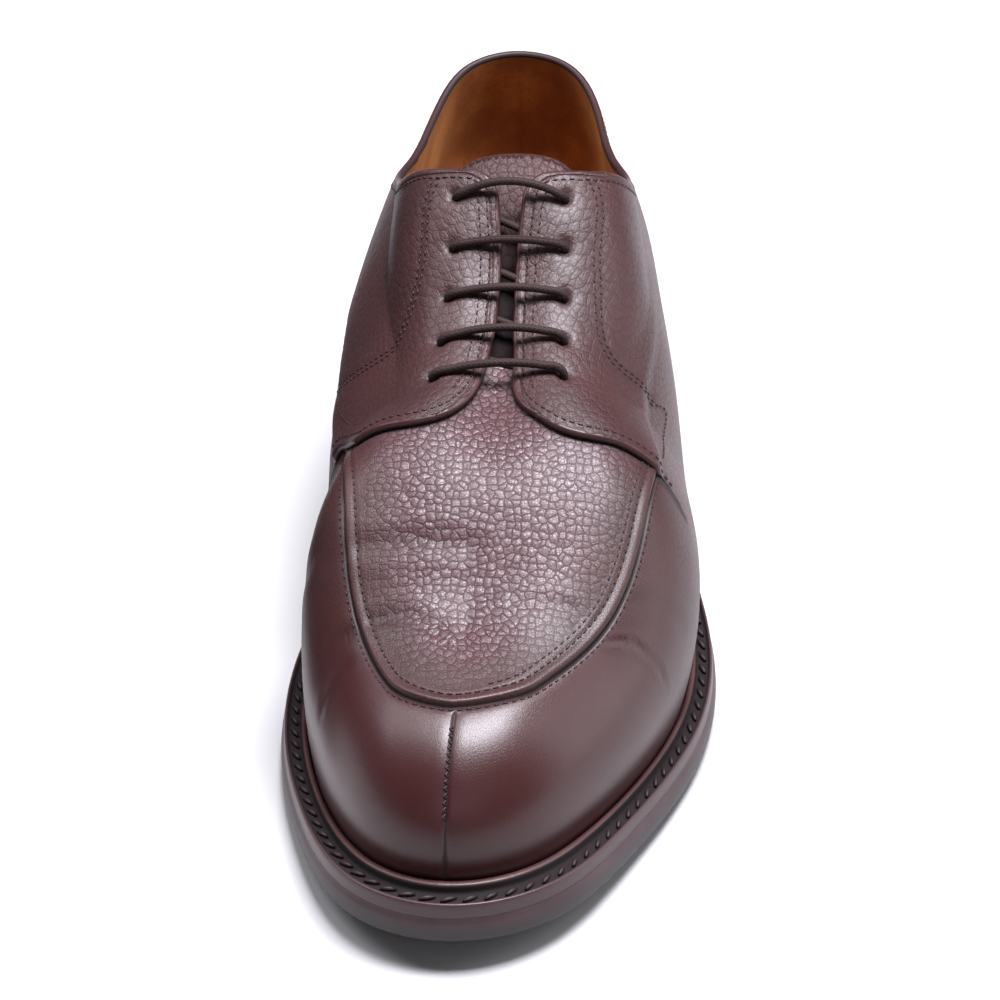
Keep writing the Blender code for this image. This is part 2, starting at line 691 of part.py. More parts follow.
# Half a bar of the lace, from under its eyelet to the crest over the gap: inward is measured
# from the hole towards the ridge, and level from the outer face of the leather.
LACE_HALF_BAR = table(
    "inward level",
    (0, -2.65), (0, -0.4), (0.75, 1.65), (2.2, 2.0), (5.9, 2.5), (9.5, 2.3),
)
LACE_UNDER = -4.3           # middle of the lace where it runs below the facing
TOP_BAR_HUMP = 1.6          # the top bar is slack, and stands this much higher at its crest
TOP_EYELET = len(EYELETS["s"]) - 1


def lace_point(side, place, inward, level):
    """A point of the lace. place counts eyelets up the facing, in parts of one too."""
    lower = min(int(place), TOP_EYELET - 1)
    share = place - lower
    row, from_ridge, lift = eyelets[side, lower] * (1 - share) + eyelets[side, lower + 1] * share
    point, out = place_on_last(side, row, from_ridge - inward)
    return point + out * (lift + level)


def half_bar(side, number):
    hump = TOP_BAR_HUMP if number == TOP_EYELET else 0
    crest = LACE_HALF_BAR["inward"][-1]
    return [
        lace_point(side, number, inward, level + hump * (inward / crest) ** 2)
        for inward, level in zip(LACE_HALF_BAR["inward"], LACE_HALF_BAR["level"])
    ]


def lace_route():
    """Middle line of the lace: down the inner side under the facing, then bar by bar to the top."""
    route = [lace_point(-1, place, -3.6, LACE_UNDER) for place in np.linspace(TOP_EYELET, 0.2, 12)]
    route.append(lace_point(-1, 0, -1.6, LACE_UNDER + 0.1))
    side = -1
    for number in range(TOP_EYELET + 1):
        rising, falling = half_bar(side, number), half_bar(-side, number)[::-1]
        middle_of_bar = (rising[-1] + falling[0]) / 2 + (0, 0, 0.25)
        route += [*rising, middle_of_bar, *falling]
        side = -side
        if number < TOP_EYELET:
            route += [lace_point(side, number + share, 0, LACE_UNDER) for share in (0.2, 0.5, 0.8)]
    route += [lace_point(side, TOP_EYELET, inward, LACE_UNDER) for inward in (-1.2, -4.0)]
    return np.array(route)


def build_laces():
    route = lace_route()
    curve = bpy.data.curves.new("laces", "CURVE")
    curve.dimensions = "3D"
    curve.bevel_depth = LACE_RADIUS * MM
    curve.bevel_resolution = 2
    curve.use_fill_caps = True
    line = curve.splines.new("POLY")
    line.points.add(len(route) - 1)
    for place, point in zip(line.points, route * MM):
        place.co = (*point, 1)
    return dress(bpy.data.objects.new("laces", curve), (0.06, 0.03, 0.025), 0.5)


for item in list(bpy.data.objects):
    bpy.data.objects.remove(item)
edge_points, edge_outward = foot_outward(whole_stations(45))
widest = edge_points + edge_outward * (welt_margin(edge_points[:, 1]) + 1.0)[:, None]
middle = (widest.min(axis=0) + widest.max(axis=0)) / 2
shoe = bpy.data.objects.new("left_shoe", None)
shoe.location = (-middle[0] * MM, -middle[1] * MM, 0)
bpy.context.scene.collection.objects.link(shoe)
eyelets = eyelet_places()
build_upper()
build_outsole()
build_heel()
build_welt()
build_insole()
build_tongue()
build_laces()
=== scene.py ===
# %% [markdown]
# # An apron toe derby, dressed
#
# The CAD model gives the shoe its size and its main forms. Here it gets what a look
# at a real shoe finds: pebbled leather, a raised seam round the apron, folded edges,
# rows of stitches, a stitched storm welt and round waxed laces. All lengths below are in
# millimetres, and s is the distance behind the tip of the toe.

import math
from functools import partial

import bmesh
import bpy
import numpy as np
from mathutils import Matrix, Vector
from mathutils.bvhtree import BVHTree

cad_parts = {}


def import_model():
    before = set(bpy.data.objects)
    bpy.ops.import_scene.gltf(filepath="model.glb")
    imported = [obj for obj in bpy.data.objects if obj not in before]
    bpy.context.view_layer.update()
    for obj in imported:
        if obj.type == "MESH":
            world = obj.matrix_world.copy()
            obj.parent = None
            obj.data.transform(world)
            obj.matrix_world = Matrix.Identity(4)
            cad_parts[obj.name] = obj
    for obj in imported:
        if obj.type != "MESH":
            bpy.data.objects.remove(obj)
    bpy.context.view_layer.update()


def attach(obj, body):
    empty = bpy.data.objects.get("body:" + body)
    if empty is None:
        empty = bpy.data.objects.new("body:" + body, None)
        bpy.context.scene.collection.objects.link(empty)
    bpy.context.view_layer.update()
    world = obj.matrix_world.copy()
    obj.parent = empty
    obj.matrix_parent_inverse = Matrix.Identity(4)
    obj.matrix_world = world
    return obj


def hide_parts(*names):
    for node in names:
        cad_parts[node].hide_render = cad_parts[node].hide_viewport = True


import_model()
MM = 0.001

# %% [markdown]
# ## The last
#
# A shoe is pulled over a wooden or plastic form, the last, so every leather piece lies on
# one smooth surface. The short tables are that surface's patterns: the line where the
# upper meets the welt, the ridge of the instep, the turn of the shoulders and the
# topline. They are the same as in the CAD source. A piece is then laid on the surface
# with two numbers: w, a row of FOOT_LINE counted from the toe, minus on the inner side of
# the foot, and up, the distance up the leather from the welt.

# %% Tables of the last
def table(columns, *rows):
    """A short table, each column under its own name."""
    names = columns.split()
    return {name: np.array([row[k] for row in rows], float) for k, name in enumerate(names)}


FOOT_LINE = table(
    "inner_s inner_x outer_s outer_x ridge_s sweep",
    (9.5, -8.0, 9.5, -8.0, 60.0, 0.0), (15.0, -22.0, 15.0, 8.7, 61.5, 0.0),
    (30.0, -33.0, 32.0, 23.2, 64.5, 0.0), (52.0, -41.0, 56.0, 36.2, 73.0, -2.0),
    (82.0, -45.8, 84.0, 46.2, 98.0, -7.0), (118.0, -42.4, 116.0, 48.6, 124.5, -11.0),
    (146.0, -33.6, 146.0, 44.0, 148.0, -7.0), (174.0, -31.8, 176.0, 39.6, 176.0, -2.0),
    (204.0, -31.4, 208.0, 35.0, 206.0, 0.0), (238.0, -30.6, 240.0, 31.2, 236.0, 0.0),
    (265.0, -26.5, 266.0, 27.5, 256.0, 0.0), (286.0, -18.0, 286.0, 18.8, 259.0, 0.0),
    (294.0, 0.5, 294.0, 0.5, 259.5, 0.0),
)
RIM = table("s height", (0, 20.4), (30, 15.8), (70, 13.0), (105, 12.8), (150, 18.0), (200, 27.5),
            (245, 32.5), (302, 35.0))
TREAD = table("s height", (0, 8.0), (15, 5.2), (35, 2.5), (60, 0.5), (76, 0), (110, 0), (150, 5.2),
              (184, 12.2), (205, 18.5), (302, 26.0))
RIDGE = table("s height", (8, 44), (36, 50.7), (62, 58.4), (92, 77.0), (122, 89.3), (145, 100.0),
              (168, 116.6), (205, 133.5), (245, 139), (300, 143))
RIDGE_SIDE = table("s x", (0, -8.3), (36, -6), (80, -3), (122, 0.8), (168, 2.5), (220, 1.5), (302, 0.5))
CROWN = table("s drop", (0, 0.0012), (40, 0.0014), (90, 0.0020), (125, 0.0015), (160, 0), (300, 0))
LACED_DIP = table("s depth", (86, 0), (104, 1.5), (119, 3.6), (134, 3.6), (151, 3.2), (161, 1.5),
                  (172, 0), (302, 0))
LACED_WIDTH = 10.5
SHOULDER = table("s inner outer", (9, 30, 30), (50, 31, 30), (90, 22, 28), (125, 41, 43.5),
                 (160, 60, 60), (294, 60, 60))
ROUNDNESS = table("s side top", (9, 2.3, 2.2), (50, 2.4, 2.35), (100, 3.4, 2.6), (135, 2.8, 2.4),
                  (170, 3.6, 3.5), (205, 4.1, 3.2), (240, 2.6, 1.75), (294, 2.2, 1.35))
BULGE = table("s inner outer", (9, 4.5, 4.3), (60, 2.4, 5.2), (110, 1.8, 3.4), (150, 11.6, 4.2),
              (185, 11.4, 4.7), (220, 6.5, 5.6), (250, 1.2, 1.2), (294, 2.4, 5.2))
BULGE_HEIGHT = 65.0
APRON_SEAM = table("s inner outer", (9, 29.3, 29.3), (30, 20.0, 20.0), (54, 16.0, 16.0), (90, 11.6, 12.0),
                   (117, 7.4, 9.4), (132, 5.0, 9.0))
WELT_MARGIN = table("s width", (9, 9.0), (50, 6.3), (110, 6.0), (160, 5.6), (200, 5.5), (250, 6),
                    (294, 7.5))
FACING_GAP = table("s half", (60, 4.6), (124, 4.4), (138, 3.1), (152, 2.8), (168, 4.0), (300, 4.0))
TOPLINE = table("s height", (150, 122), (162, 121), (168, 119.3), (176, 115.0), (184, 108.4),
                (194, 101.5), (208, 94.8), (225, 88.4), (240, 86.4), (255, 87.2), (270, 90.0),
                (281, 93.4), (291, 95.8), (300, 96.2))
EYELETS = table("s aside", (121.5, 15.8), (132.5, 15.0), (143.8, 14.5), (154.8, 14.0), (165.5, 13.8))
CORNER_RADIUS, FACING_END, HEEL_ROW = 7.0, 185.0, 12.0
FIRST_FACING_ROW, HALF_THROAT = 4.5, 4.6
BULGE_FADE, FULL_BULGE_ROWS = 14.0, (4.9, 5.3)
KNOT_POWER = 0.8             # spreads the foot line's knots, so that its curve stays round at the toe


# %% Curves through the tables
def smooth(knots, values):
    """A curve through the rows of a table that never swings past them."""
    t, v = np.asarray(knots, float), np.asarray(values, float)
    h = np.diff(t)
    slope = np.diff(v) / h
    m = np.zeros_like(v)
    m[0], m[-1] = slope[0], slope[-1]
    for i in range(1, len(t) - 1):
        if slope[i - 1] * slope[i] > 0:
            before, after = 2 * h[i] + h[i - 1], h[i] + 2 * h[i - 1]
            m[i] = (before + after) / (before / slope[i - 1] + after / slope[i])

    def read(x):
        x = np.clip(np.asarray(x, float), t[0], t[-1])
        i = np.clip(np.searchsorted(t, x, side="right") - 1, 0, len(t) - 2)
        q = (x - t[i]) / h[i]
        ends = (1 + 2 * q) * (1 - q) ** 2 * v[i] + q * q * (3 - 2 * q) * v[i + 1]
        return ends + q * (1 - q) ** 2 * h[i] * m[i] + q * q * (q - 1) * h[i] * m[i + 1]

    return read


def smoothstep(x, low, high):
    t = np.clip((x - low) / (high - low), 0, 1)
    return t * t * (3 - 2 * t)


def spline(knots, values, closed=False):
    """A natural cubic spline, or a closed one whose last row repeats the first."""
    t, v = np.asarray(knots, float), np.asarray(values, float)
    h = np.diff(t)
    count = len(t) - 1 if closed else len(t)
    matrix = np.zeros((count, count))
    right = np.zeros((count,) + v.shape[1:])
    for i in range(count):
        if not closed and i in (0, count - 1):
            matrix[i, i] = 1
            continue
        before, after = h[i - 1], h[i]
        matrix[i, (i - 1) % count] += before
        matrix[i, i] += 2 * (before + after)
        matrix[i, (i + 1) % count] += after
        previous = v[count - 1] if i == 0 else v[i - 1]
        right[i] = 6 * ((v[i + 1] - v[i]) / after - (v[i] - previous) / before)
    bend = np.linalg.solve(matrix, right)
    if closed:
        bend = np.concatenate([bend, bend[:1]])

    def read(x):
        x = np.asarray(x, float)
        x = (x - t[0]) % (t[-1] - t[0]) + t[0] if closed else np.clip(x, t[0], t[-1])
        i = np.clip(np.searchsorted(t, x, side="right") - 1, 0, len(t) - 2)
        shape = x.shape + (1,) * (v.ndim - 1)
        width = h[i].reshape(shape)
        a = (t[i + 1] - x).reshape(shape) / width
        b = (x - t[i]).reshape(shape) / width
        return a * v[i] + b * v[i + 1] + ((a**3 - a) * bend[i] + (b**3 - b) * bend[i + 1]) * width**2 / 6

    return read


def curve(rows, column, through=smooth):
    """The curve through one column of a table that starts with s."""
    return through(rows["s"], rows[column])


def both_sides(rows):
    """A curve for the inner side, -1, and one for the outer side, 1."""
    return {-1: curve(rows, "inner"), 1: curve(rows, "outer")}


def unit(vectors):
    return vectors / np.linalg.norm(vectors, axis=-1, keepdims=True)


def lengths_along(points):
    """How long a path is up to each of its points."""
    return np.append(0, np.cumsum(np.linalg.norm(np.diff(points, axis=0), axis=1)))


rim, tread = curve(RIM, "height", spline), curve(TREAD, "height")
ridge, ridge_x = curve(RIDGE, "height", spline), curve(RIDGE_SIDE, "x", spline)
crown, laced_dip = curve(CROWN, "drop"), curve(LACED_DIP, "depth")
topline, facing_gap = curve(TOPLINE, "height", spline), curve(FACING_GAP, "half")
side_power, top_power = curve(ROUNDNESS, "side"), curve(ROUNDNESS, "top")
welt_margin = curve(WELT_MARGIN, "width")
seam_inward, shoulder, bulge = both_sides(APRON_SEAM), both_sides(SHOULDER), both_sides(BULGE)

around = np.stack([
    np.concatenate([FOOT_LINE["inner_" + axis][::-1], FOOT_LINE["outer_" + axis][1:]]) for axis in "xs"
], axis=1)
along = np.append(0, np.cumsum(np.linalg.norm(np.diff(around, axis=0), axis=1) ** KNOT_POWER))
foot_curve = spline(along, around, closed=True)
last_rows = np.arange(len(FOOT_LINE["inner_s"]), dtype=float)
row_places = smooth(np.concatenate([-last_rows[::-1], last_rows[1:]]), along)
ridge_station = smooth(last_rows, FOOT_LINE["ridge_s"])
sweep = smooth(last_rows, FOOT_LINE["sweep"])


def wrap(w):
    """The same row, counted from -HEEL_ROW to HEEL_ROW."""
    return (np.asarray(w, float) + HEEL_ROW) % (2 * HEEL_ROW) - HEEL_ROW


def foot(w):
    """Point (x, s) on the foot line."""
    return foot_curve(row_places(wrap(w)))


def foot_outward(w):
    """Point on the foot line and the direction straight out of it, both in plan."""
    run = unit(foot(w + 1e-3) - foot(w - 1e-3))
    return foot(w), np.stack([run[..., 1], -run[..., 0]], axis=-1)


# %% [markdown]
# ## One map of the whole surface
#
# Working out a section of the last is slow, so 2401 of them are worked out once and kept
# as a map. The map also tells how far up each section the apron's seam and the cut edge
# of the facing or the collar lie.

# %% Sections of the last
def section(w, samples=320):
    """Points from the foot line up to the ridge, and how far inward of the foot line each lies."""
    side = -1 if w < 0 else 1
    x0, s0 = foot(w)
    end_s = ridge_station(abs(w))
    end_x = ridge_x(end_s)
    reach = math.hypot(end_s - s0, end_x - x0)
    turn = min(float(shoulder[side](s0)), reach)
    angle = np.linspace(0, math.pi / 2, samples)
    inward = turn * (1 - np.cos(angle) ** (2 / side_power(s0)))
    rise = np.sin(angle) ** (2 / top_power(s0))
    if reach > turn + 0.01:
        inward = np.concatenate([inward, np.linspace(turn, reach, 40)[1:]])
        rise = np.concatenate([rise, np.ones(39)])
    share = inward / reach
    s = s0 + (end_s - s0) * share + sweep(abs(w)) * np.sin(math.pi * share**1.3)
    x = x0 + (end_x - x0) * share
    top = ridge(s) - crown(s) * (x - ridge_x(s)) ** 2
    z = rim(s0) + (top - rim(s0)) * rise
    out = bulge[side](s0) * np.sin(math.pi * np.clip((z - rim(s0)) / BULGE_HEIGHT, 0, 1))
    out = out * np.maximum(smoothstep(reach - inward, 0, BULGE_FADE), smoothstep(abs(w), *FULL_BULGE_ROWS))
    z = z - laced_dip(s) * np.exp(-(((x - ridge_x(s)) / LACED_WIDTH) ** 2))
    points = np.stack([x - (end_x - x0) / reach * out, s - (end_s - s0) / reach * out, z], axis=1)
    return points, inward


def edge_of_leather(points, lengths):
    """How far up a section the edge of the facing or the topline cuts it."""
    x, s, z = points.T
    from_facing = np.where(s < FACING_END, np.abs(x - ridge_x(s)) - facing_gap(s), np.inf)
    below_topline = topline(s) - z
    near_facing = np.minimum(from_facing, CORNER_RADIUS)
    round_off = CORNER_RADIUS - np.hypot(CORNER_RADIUS - near_facing, CORNER_RADIUS - below_topline)
    corner = (from_facing < CORNER_RADIUS) & (below_topline < CORNER_RADIUS)
    inside = np.where(corner, round_off, np.minimum(from_facing, below_topline))
    k = int(np.argmax(inside < 0))
    share = inside[k - 1] / (inside[k - 1] - inside[k])
    return lengths[k - 1] + share * (lengths[k] - lengths[k - 1])


MAP_STEP, MAP_CELLS = 0.01, 400
HEEL_BLEND_ROW = 11.0        # from here back both sides ease to one section at the heel seam
map_w = np.arange(-HEEL_ROW, HEEL_ROW + MAP_STEP / 2, MAP_STEP)
map_points = np.zeros((len(map_w), MAP_CELLS + 1, 3))
map_length, map_seam, map_edge = np.zeros((3, len(map_w)))
for k, w in enumerate(map_w):
    points, inward = section(w)
    lengths = lengths_along(points)
    even = np.linspace(0, lengths[-1], MAP_CELLS + 1)
    map_points[k] = np.stack([np.interp(even, lengths, points[:, axis]) for axis in range(3)], axis=1)
    map_length[k] = lengths[-1]
    map_seam[k] = np.interp(seam_inward[-1 if w < 0 else 1](points[0, 1]), inward, lengths)
    has_facing = abs(w) > FIRST_FACING_ROW
    map_edge[k] = edge_of_leather(points, lengths) if has_facing else lengths[-1] - HALF_THROAT
last_row = np.where(map_w < 0, 0, len(map_w) - 2)        # of its own side, at the heel seam
to_heel = smoothstep(np.abs(map_w), HEEL_BLEND_ROW, HEEL_ROW)
for column in (map_points, map_length, map_seam, map_edge):
    meeting = (column[0] + column[-2]) / 2
    column += to_heel.reshape(-1, *[1] * (column.ndim - 1)) * (meeting - column[last_row])
    column[-1] = column[0]


def read_map(column, w):
    return np.interp(wrap(w), map_w, column)


def skin(w, up):
    """Points of the last at rows w and distances up from the welt."""
    w = wrap(w)
    place = np.clip((w + HEEL_ROW) / MAP_STEP, 0, len(map_w) - 1.001)
    share = np.clip(up / np.interp(w, map_w, map_length), 0, 1) * (MAP_CELLS - 0.001)
    i, j = place.astype(int), share.astype(int)
    a, b = (place - i)[..., None], (share - j)[..., None]
    near = map_points[i, j] * (1 - b) + map_points[i, j + 1] * b
    far = map_points[i + 1, j] * (1 - b) + map_points[i + 1, j + 1] * b
    return near * (1 - a) + far * a


def outward(w, up):
    """The direction straight out of the leather."""
    w, up = np.broadcast_arrays(np.asarray(w, float), np.asarray(up, float))
    length = read_map(map_length, w)
    up = np.clip(up, 0.6, length - 0.6)
    ahead, behind = (skin(near, up + (read_map(map_length, near) - length)) for near in (w + 0.02, w - 0.02))
    return unit(np.cross(ahead - behind, skin(w, up + 0.5) - skin(w, up - 0.5)))


def off_skin(w, up, level):
    """Points this many millimetres out of the last, or into it where level is below zero."""
    return skin(w, up) + outward(w, up) * np.asarray(level)[..., None]


ring_point, ring_out = foot_outward(np.linspace(-HEEL_ROW, HEEL_ROW, 960, endpoint=False))
ring_edge = ring_point + ring_out * (welt_margin(ring_point[:, 1]) + 1.0)[:, None]
MIDDLE = (ring_edge.min(axis=0) + ring_edge.max(axis=0)) / 2


def world(points):
    """Points (x, s, z) of the last in millimetres, as places in the scene in metres."""
    return (np.asarray(points) - (MIDDLE[0], MIDDLE[1], 0)) * MM


print("middle of the sole:", MIDDLE.round(2), " heel seam is", round(float(map_edge[0]), 1), "mm high")

# %% [markdown]
# ## Camera, floor and light
#
# The camera was found by matching the last's outlines to the picture: it looks down at
# 34 degrees from almost straight ahead, with a little roll, and its lens takes in the
# whole shoe. The floor is plain and pale. A big soft box overhead gives the broad sheen on
# the apron. A tall strip on the right and a box on the left draw the pale lines down the
# walls, and a weak fill in front opens the shadows. A dark card stands at the inner side,
# out of the camera's sight, and keeps the bright floor out of that wall's gloss.

# %% Camera
VIEW_AZIMUTH, VIEW_ELEVATION, VIEW_ROLL = 6.52, 33.71, -2.95
CAMERA_AT = np.array([34.89, -663.23, 562.81])
AIM_AT = np.array([0.5, 128.0, 47.0])
SENSOR, LENS = 36.0, 134.0


def new_object(name, data):
    """An object in the scene that shows this mesh, camera or light."""
    thing = bpy.data.objects.new(name, data)
    bpy.context.scene.collection.objects.link(thing)
    return thing


azimuth, elevation, roll = (math.radians(a) for a in (VIEW_AZIMUTH, VIEW_ELEVATION, VIEW_ROLL))
back = Vector((math.sin(azimuth) * math.cos(elevation), -math.cos(azimuth) * math.cos(elevation),
               math.sin(elevation)))
level_right = Vector((0, 0, 1)).cross(back).normalized()
picture_up = back.cross(level_right) * math.cos(roll) - level_right * math.sin(roll)
toward_camera = Vector(CAMERA_AT - AIM_AT).normalized()
picture_right = picture_up.cross(toward_camera).normalized()
picture_up = toward_camera.cross(picture_right)
camera = new_object("camera", bpy.data.cameras.new("camera"))
camera.data.sensor_width, camera.data.lens = SENSOR, LENS
camera.matrix_world = Matrix.Translation(world(CAMERA_AT)) @ Matrix(
    (picture_right, picture_up, toward_camera)).transposed().to_4x4()
bpy.context.scene.camera = camera
print("camera at", world(CAMERA_AT).round(3).tolist(), "m")


# %% Helpers for colours and nodes
def colour(code):
    """A linear colour with alpha from an sRGB hex code."""
    parts = [int(code[k:k + 2], 16) / 255 for k in (1, 3, 5)]
    return (*(p / 12.92 if p <= 0.04045 else ((p + 0.055) / 1.055) ** 2.4 for p in parts), 1.0)


def fill_sockets(material, node, sockets):
    """Sets a node's sockets to values, or links them to the outputs of other nodes."""
    for name, value in sockets.items():
        if isinstance(value, bpy.types.NodeSocket):
            material.node_tree.links.new(value, node.inputs[name])
        else:
            node.inputs[name].default_value = value


def add_node(material, kind, *inputs, output=0, sockets=None, **settings):
    """Adds a node and returns one of its outputs. inputs fill its sockets in order, sockets by name."""
    node = material.node_tree.nodes.new("ShaderNode" + kind)
    for name, value in settings.items():
        setattr(node, name, value)
    fill_sockets(material, node, {**dict(enumerate(inputs)), **(sockets or {})})
    return node.outputs[output]


def new_material(name, **sockets):
    """A material with values set on its shader, and the shader."""
    material = bpy.data.materials.new(name)
    material.use_nodes = True
    shader = material.node_tree.nodes["Principled BSDF"]
    fill_sockets(material, shader, {socket.replace("_", " "): value for socket, value in sockets.items()})
    return material, shader


# %% Floor and lights
FLOOR_SIZE = 12.0
CARD_PLACE, CARD_HEIGHT, CARD_LENGTH = (-0.088, 0.04, 0.055), 0.11, 0.24


def studio_sheet(name, material, matrix):
    """A square of one metre, placed and stretched by the matrix, that isn't part of the shoe."""
    mesh = bpy.data.meshes.new(name)
    bm = bmesh.new()
    bmesh.ops.create_grid(bm, x_segments=1, y_segments=1, size=0.5, matrix=matrix)
    bm.to_mesh(mesh)
    bm.free()
    mesh.materials.append(material)
    sheet = new_object(name, mesh)
    return sheet


paper, _ = new_material("white seamless paper", Base_Color=colour("#c6c6c6"), Roughness=0.85)
studio_sheet("studio_floor", paper, Matrix.Diagonal((FLOOR_SIZE, FLOOR_SIZE, 1, 1)))
card_board, _ = new_material("dark board", Base_Color=colour("#160d0d"), Roughness=0.9)
dark_card = studio_sheet("dark_card", card_board, Matrix.Translation(CARD_PLACE)
                         @ Matrix.Rotation(math.radians(90), 4, "Y")
                         @ Matrix.Diagonal((CARD_HEIGHT, CARD_LENGTH, 1, 1)))
dark_card.visible_camera = dark_card.visible_diffuse = dark_card.visible_shadow = False

LIGHTS = {
    # name: place, where it looks, width and height, all in metres, and power in watts
    "overhead box": ((0.2, 0.02, 1.25), (0, -0.03, 0.05), (0.44, 0.6), 36.0),
    "front fill": ((0.2, -1.8, 1.1), (0, 0, 0.05), (1.6, 1.0), 3.0),
    "right strip": ((1.25, 0.1, 0.5), (0, 0, 0.05), (0.5, 1.6), 9.0),
    "left box": ((-0.85, 0.25, 1.15), (0, 0, 0.05), (0.5, 1.0), 9.0),
}
LIGHT_COLOUR, ROOM_COLOUR, ROOM_LIGHT = "#f8f7ff", "#ffffff", 0.08
for name, (place, target, size, power) in LIGHTS.items():
    light = bpy.data.lights.new(name, "AREA")
    light.shape = "RECTANGLE"
    light.size, light.size_y = size
    light.energy = power
    light.color = colour(LIGHT_COLOUR)[:3]
    lamp = new_object(name, light)
    lamp.location = place
    lamp.rotation_euler = (Vector(target) - Vector(place)).to_track_quat("-Z", "Y").to_euler()
studio = bpy.data.worlds.new("studio")
studio.use_nodes = True
fill_sockets(studio, studio.node_tree.nodes["Background"],
             {"Color": colour(ROOM_COLOUR), "Strength": ROOM_LIGHT})
bpy.context.scene.world = studio
bpy.context.scene.view_settings.view_transform = "Standard"
print("lights:", ", ".join(LIGHTS))

# %% [markdown]
# ## Leathers, thread and rubber
#
# The apron and the quarters are pebbled: the grain stands in rounded cells of about two
# millimetres, with thin dark creases between them. The toe and the side walls are plainer
# and burnished, darker, redder and glossier. One leather does both. Each vertex holds how
# pebbled and how polished the skin is, how much painted shade it takes in grooves, holes
# and under edges, how much darker it is in its folds, and where it lies on the flat hide,
# so that the cells aren't stretched by the form.

# %% Patterns that several materials share
EASED = {"interpolation_type": "SMOOTHSTEP"}      # for Map Range: from low, high to low, high
TIMES, TIMES_PLUS = {"operation": "MULTIPLY"}, {"operation": "MULTIPLY_ADD"}
HIDE_NUMBERS = ("pebble", "polish", "shade", "worn", "hide_across", "hide_along")


def mottle(material, size, detail=2.0):
    """Soft mottling with features of this many millimetres, 0 to 1."""
    place = add_node(material, "TexCoord", output="Object")
    place = add_node(material, "VectorMath", place, sockets={"Scale": 1000.0 / size}, operation="SCALE")
    return add_node(material, "TexNoise", place, output="Fac",
                    sockets={"Scale": 1.0, "Detail": detail, "Roughness": 0.5})


def hide_cells(material, size, wander):
    """Cells of this many millimetres: distance from their edges and from their middles, in cells."""
    place = add_node(material, "CombineXYZ", *(
        add_node(material, "Attribute", output="Fac", attribute_name=name) for name in HIDE_NUMBERS[4:]
    ))
    place = add_node(material, "VectorMath", place, sockets={"Scale": 1.0 / size}, operation="SCALE")
    stray = add_node(material, "TexNoise", place, output="Color", noise_dimensions="2D",
                     sockets={"Scale": 1.1, "Detail": 2.0})
    stray = add_node(material, "VectorMath", stray, sockets={"Scale": wander}, operation="SCALE")
    place = add_node(material, "VectorMath", place, stray, operation="ADD")
    return [
        add_node(material, "TexVoronoi", place, output="Distance", feature=feature,
                 voronoi_dimensions="2D", sockets={"Scale": 1.0, "Randomness": 0.8})
        for feature in ("DISTANCE_TO_EDGE", "F1")
    ]


def dye(material, base, *coats):
    """Coats of colour over a base colour, each as strong as its mask."""
    for mask, code in coats:
        base = add_node(material, "Mix", mask, output=2, data_type="RGBA", sockets={6: base, 7: colour(code)})
    return base


def dress(material, shader, base, relief, depth=1.0, **sockets):
    """Gives the shader its colour and its relief, which is this many millimetres deep."""
    bump = add_node(material, "Bump", sockets={"Height": relief, "Distance": depth * MM, "Strength": 1.0})
    fill_sockets(material, shader, {"Base Color": base, "Normal": bump, **sockets})


# %% Burgundy leather
CELL, FINE_CELL, PORE, CLOUD, HANDLING = 2.1, 0.85, 0.35, 24.0, 9.0     # widths in millimetres


def grained_leather(name, ior, coat):
    """Calf, dyed through in a drum and pressed with a pebble grain, then waxed by hand.

    The press leaves soft pillows with thin creases, and brushing takes the gloss to their
    tops while the wax stays dark in the creases. The toe is rubbed until its grain is almost
    gone. Wax is a thin clear coat: the eye sees a soft sheen with a paler tint over deep
    red brown.
    """
    material, shader = new_material(
        name, IOR=ior, Coat_Weight=coat, Coat_Roughness=0.28, Sheen_Weight=0.02, Sheen_Roughness=0.45,
        Sheen_Tint=colour("#cbb6c4"),
    )
    node = partial(add_node, material)
    pebbled, polished, painted_shade, worn = (
        node("Attribute", output="Fac", attribute_name=name) for name in HIDE_NUMBERS[:4]
    )
    from_edge, from_middle = hide_cells(material, CELL, 0.6)
    fine_edge, _ = hide_cells(material, FINE_CELL, 0.5)
    crease = node("MapRange", from_edge, 0.02, 0.12, 1.0, 0.0, **EASED)
    crease = node("Math", crease, pebbled, **TIMES)
    pillow = node("MapRange", from_middle, 0.0, 0.85, 0.17, 0.0, **EASED)
    pillow = node("Math", pillow, node("MapRange", from_edge, 0.0, 0.13, 0.0, 0.10, **EASED), operation="ADD")
    fine_grain = node("MapRange", fine_edge, 0.0, 0.16, 0.0, 0.04, **EASED)
    fine_grain = node("Math", fine_grain, node("MapRange", polished, 0.0, 0.9, 1.0, 0.25, **EASED), **TIMES)
    height = node("Math", pillow, pebbled, fine_grain, **TIMES_PLUS)
    height = node("Math", mottle(material, PORE), 0.02, height, **TIMES_PLUS)
    base = dye(
        material, colour("#361c1b"),
        (node("MapRange", mottle(material, CLOUD), 0.3, 0.7, **EASED), "#402220"),      # uneven dye
        (node("Math", polished, 0.8, **TIMES), "#3b1a1a"),                              # burnished toe
        (node("MapRange", pebbled, 0.4, 1.0, 0.0, 0.65, **EASED), "#5c3d42"),           # brushed pebbles
        (node("Math", crease, 0.7, **TIMES), "#1f0d11"),                                # wax between them
        # darker colour in the troughs of the folds
        (node("Math", worn, 0.5, **TIMES), "#241011"),                                  # walked creases
        # painted shade: grooves, eyelet holes, the underside of folded edges and the tongue between the
        # facings go near-black
        (node("Math", painted_shade, 0.93, **TIMES), "#0e0607"),                               # grooves and holes
    )
    gloss = node("MapRange", polished, 0.0, 1.0, 0.42, 0.28, **EASED)
    for pattern, change in (
        (node("MapRange", pebbled, 0.45, 1.0, **EASED), -0.11), (mottle(material, HANDLING), 0.10),
        (crease, 0.3), (painted_shade, 0.5),
    ):
        gloss = node("Math", pattern, change, gloss, use_clamp=True, **TIMES_PLUS)
    dress(material, shader, base, height, Roughness=gloss)
    return material


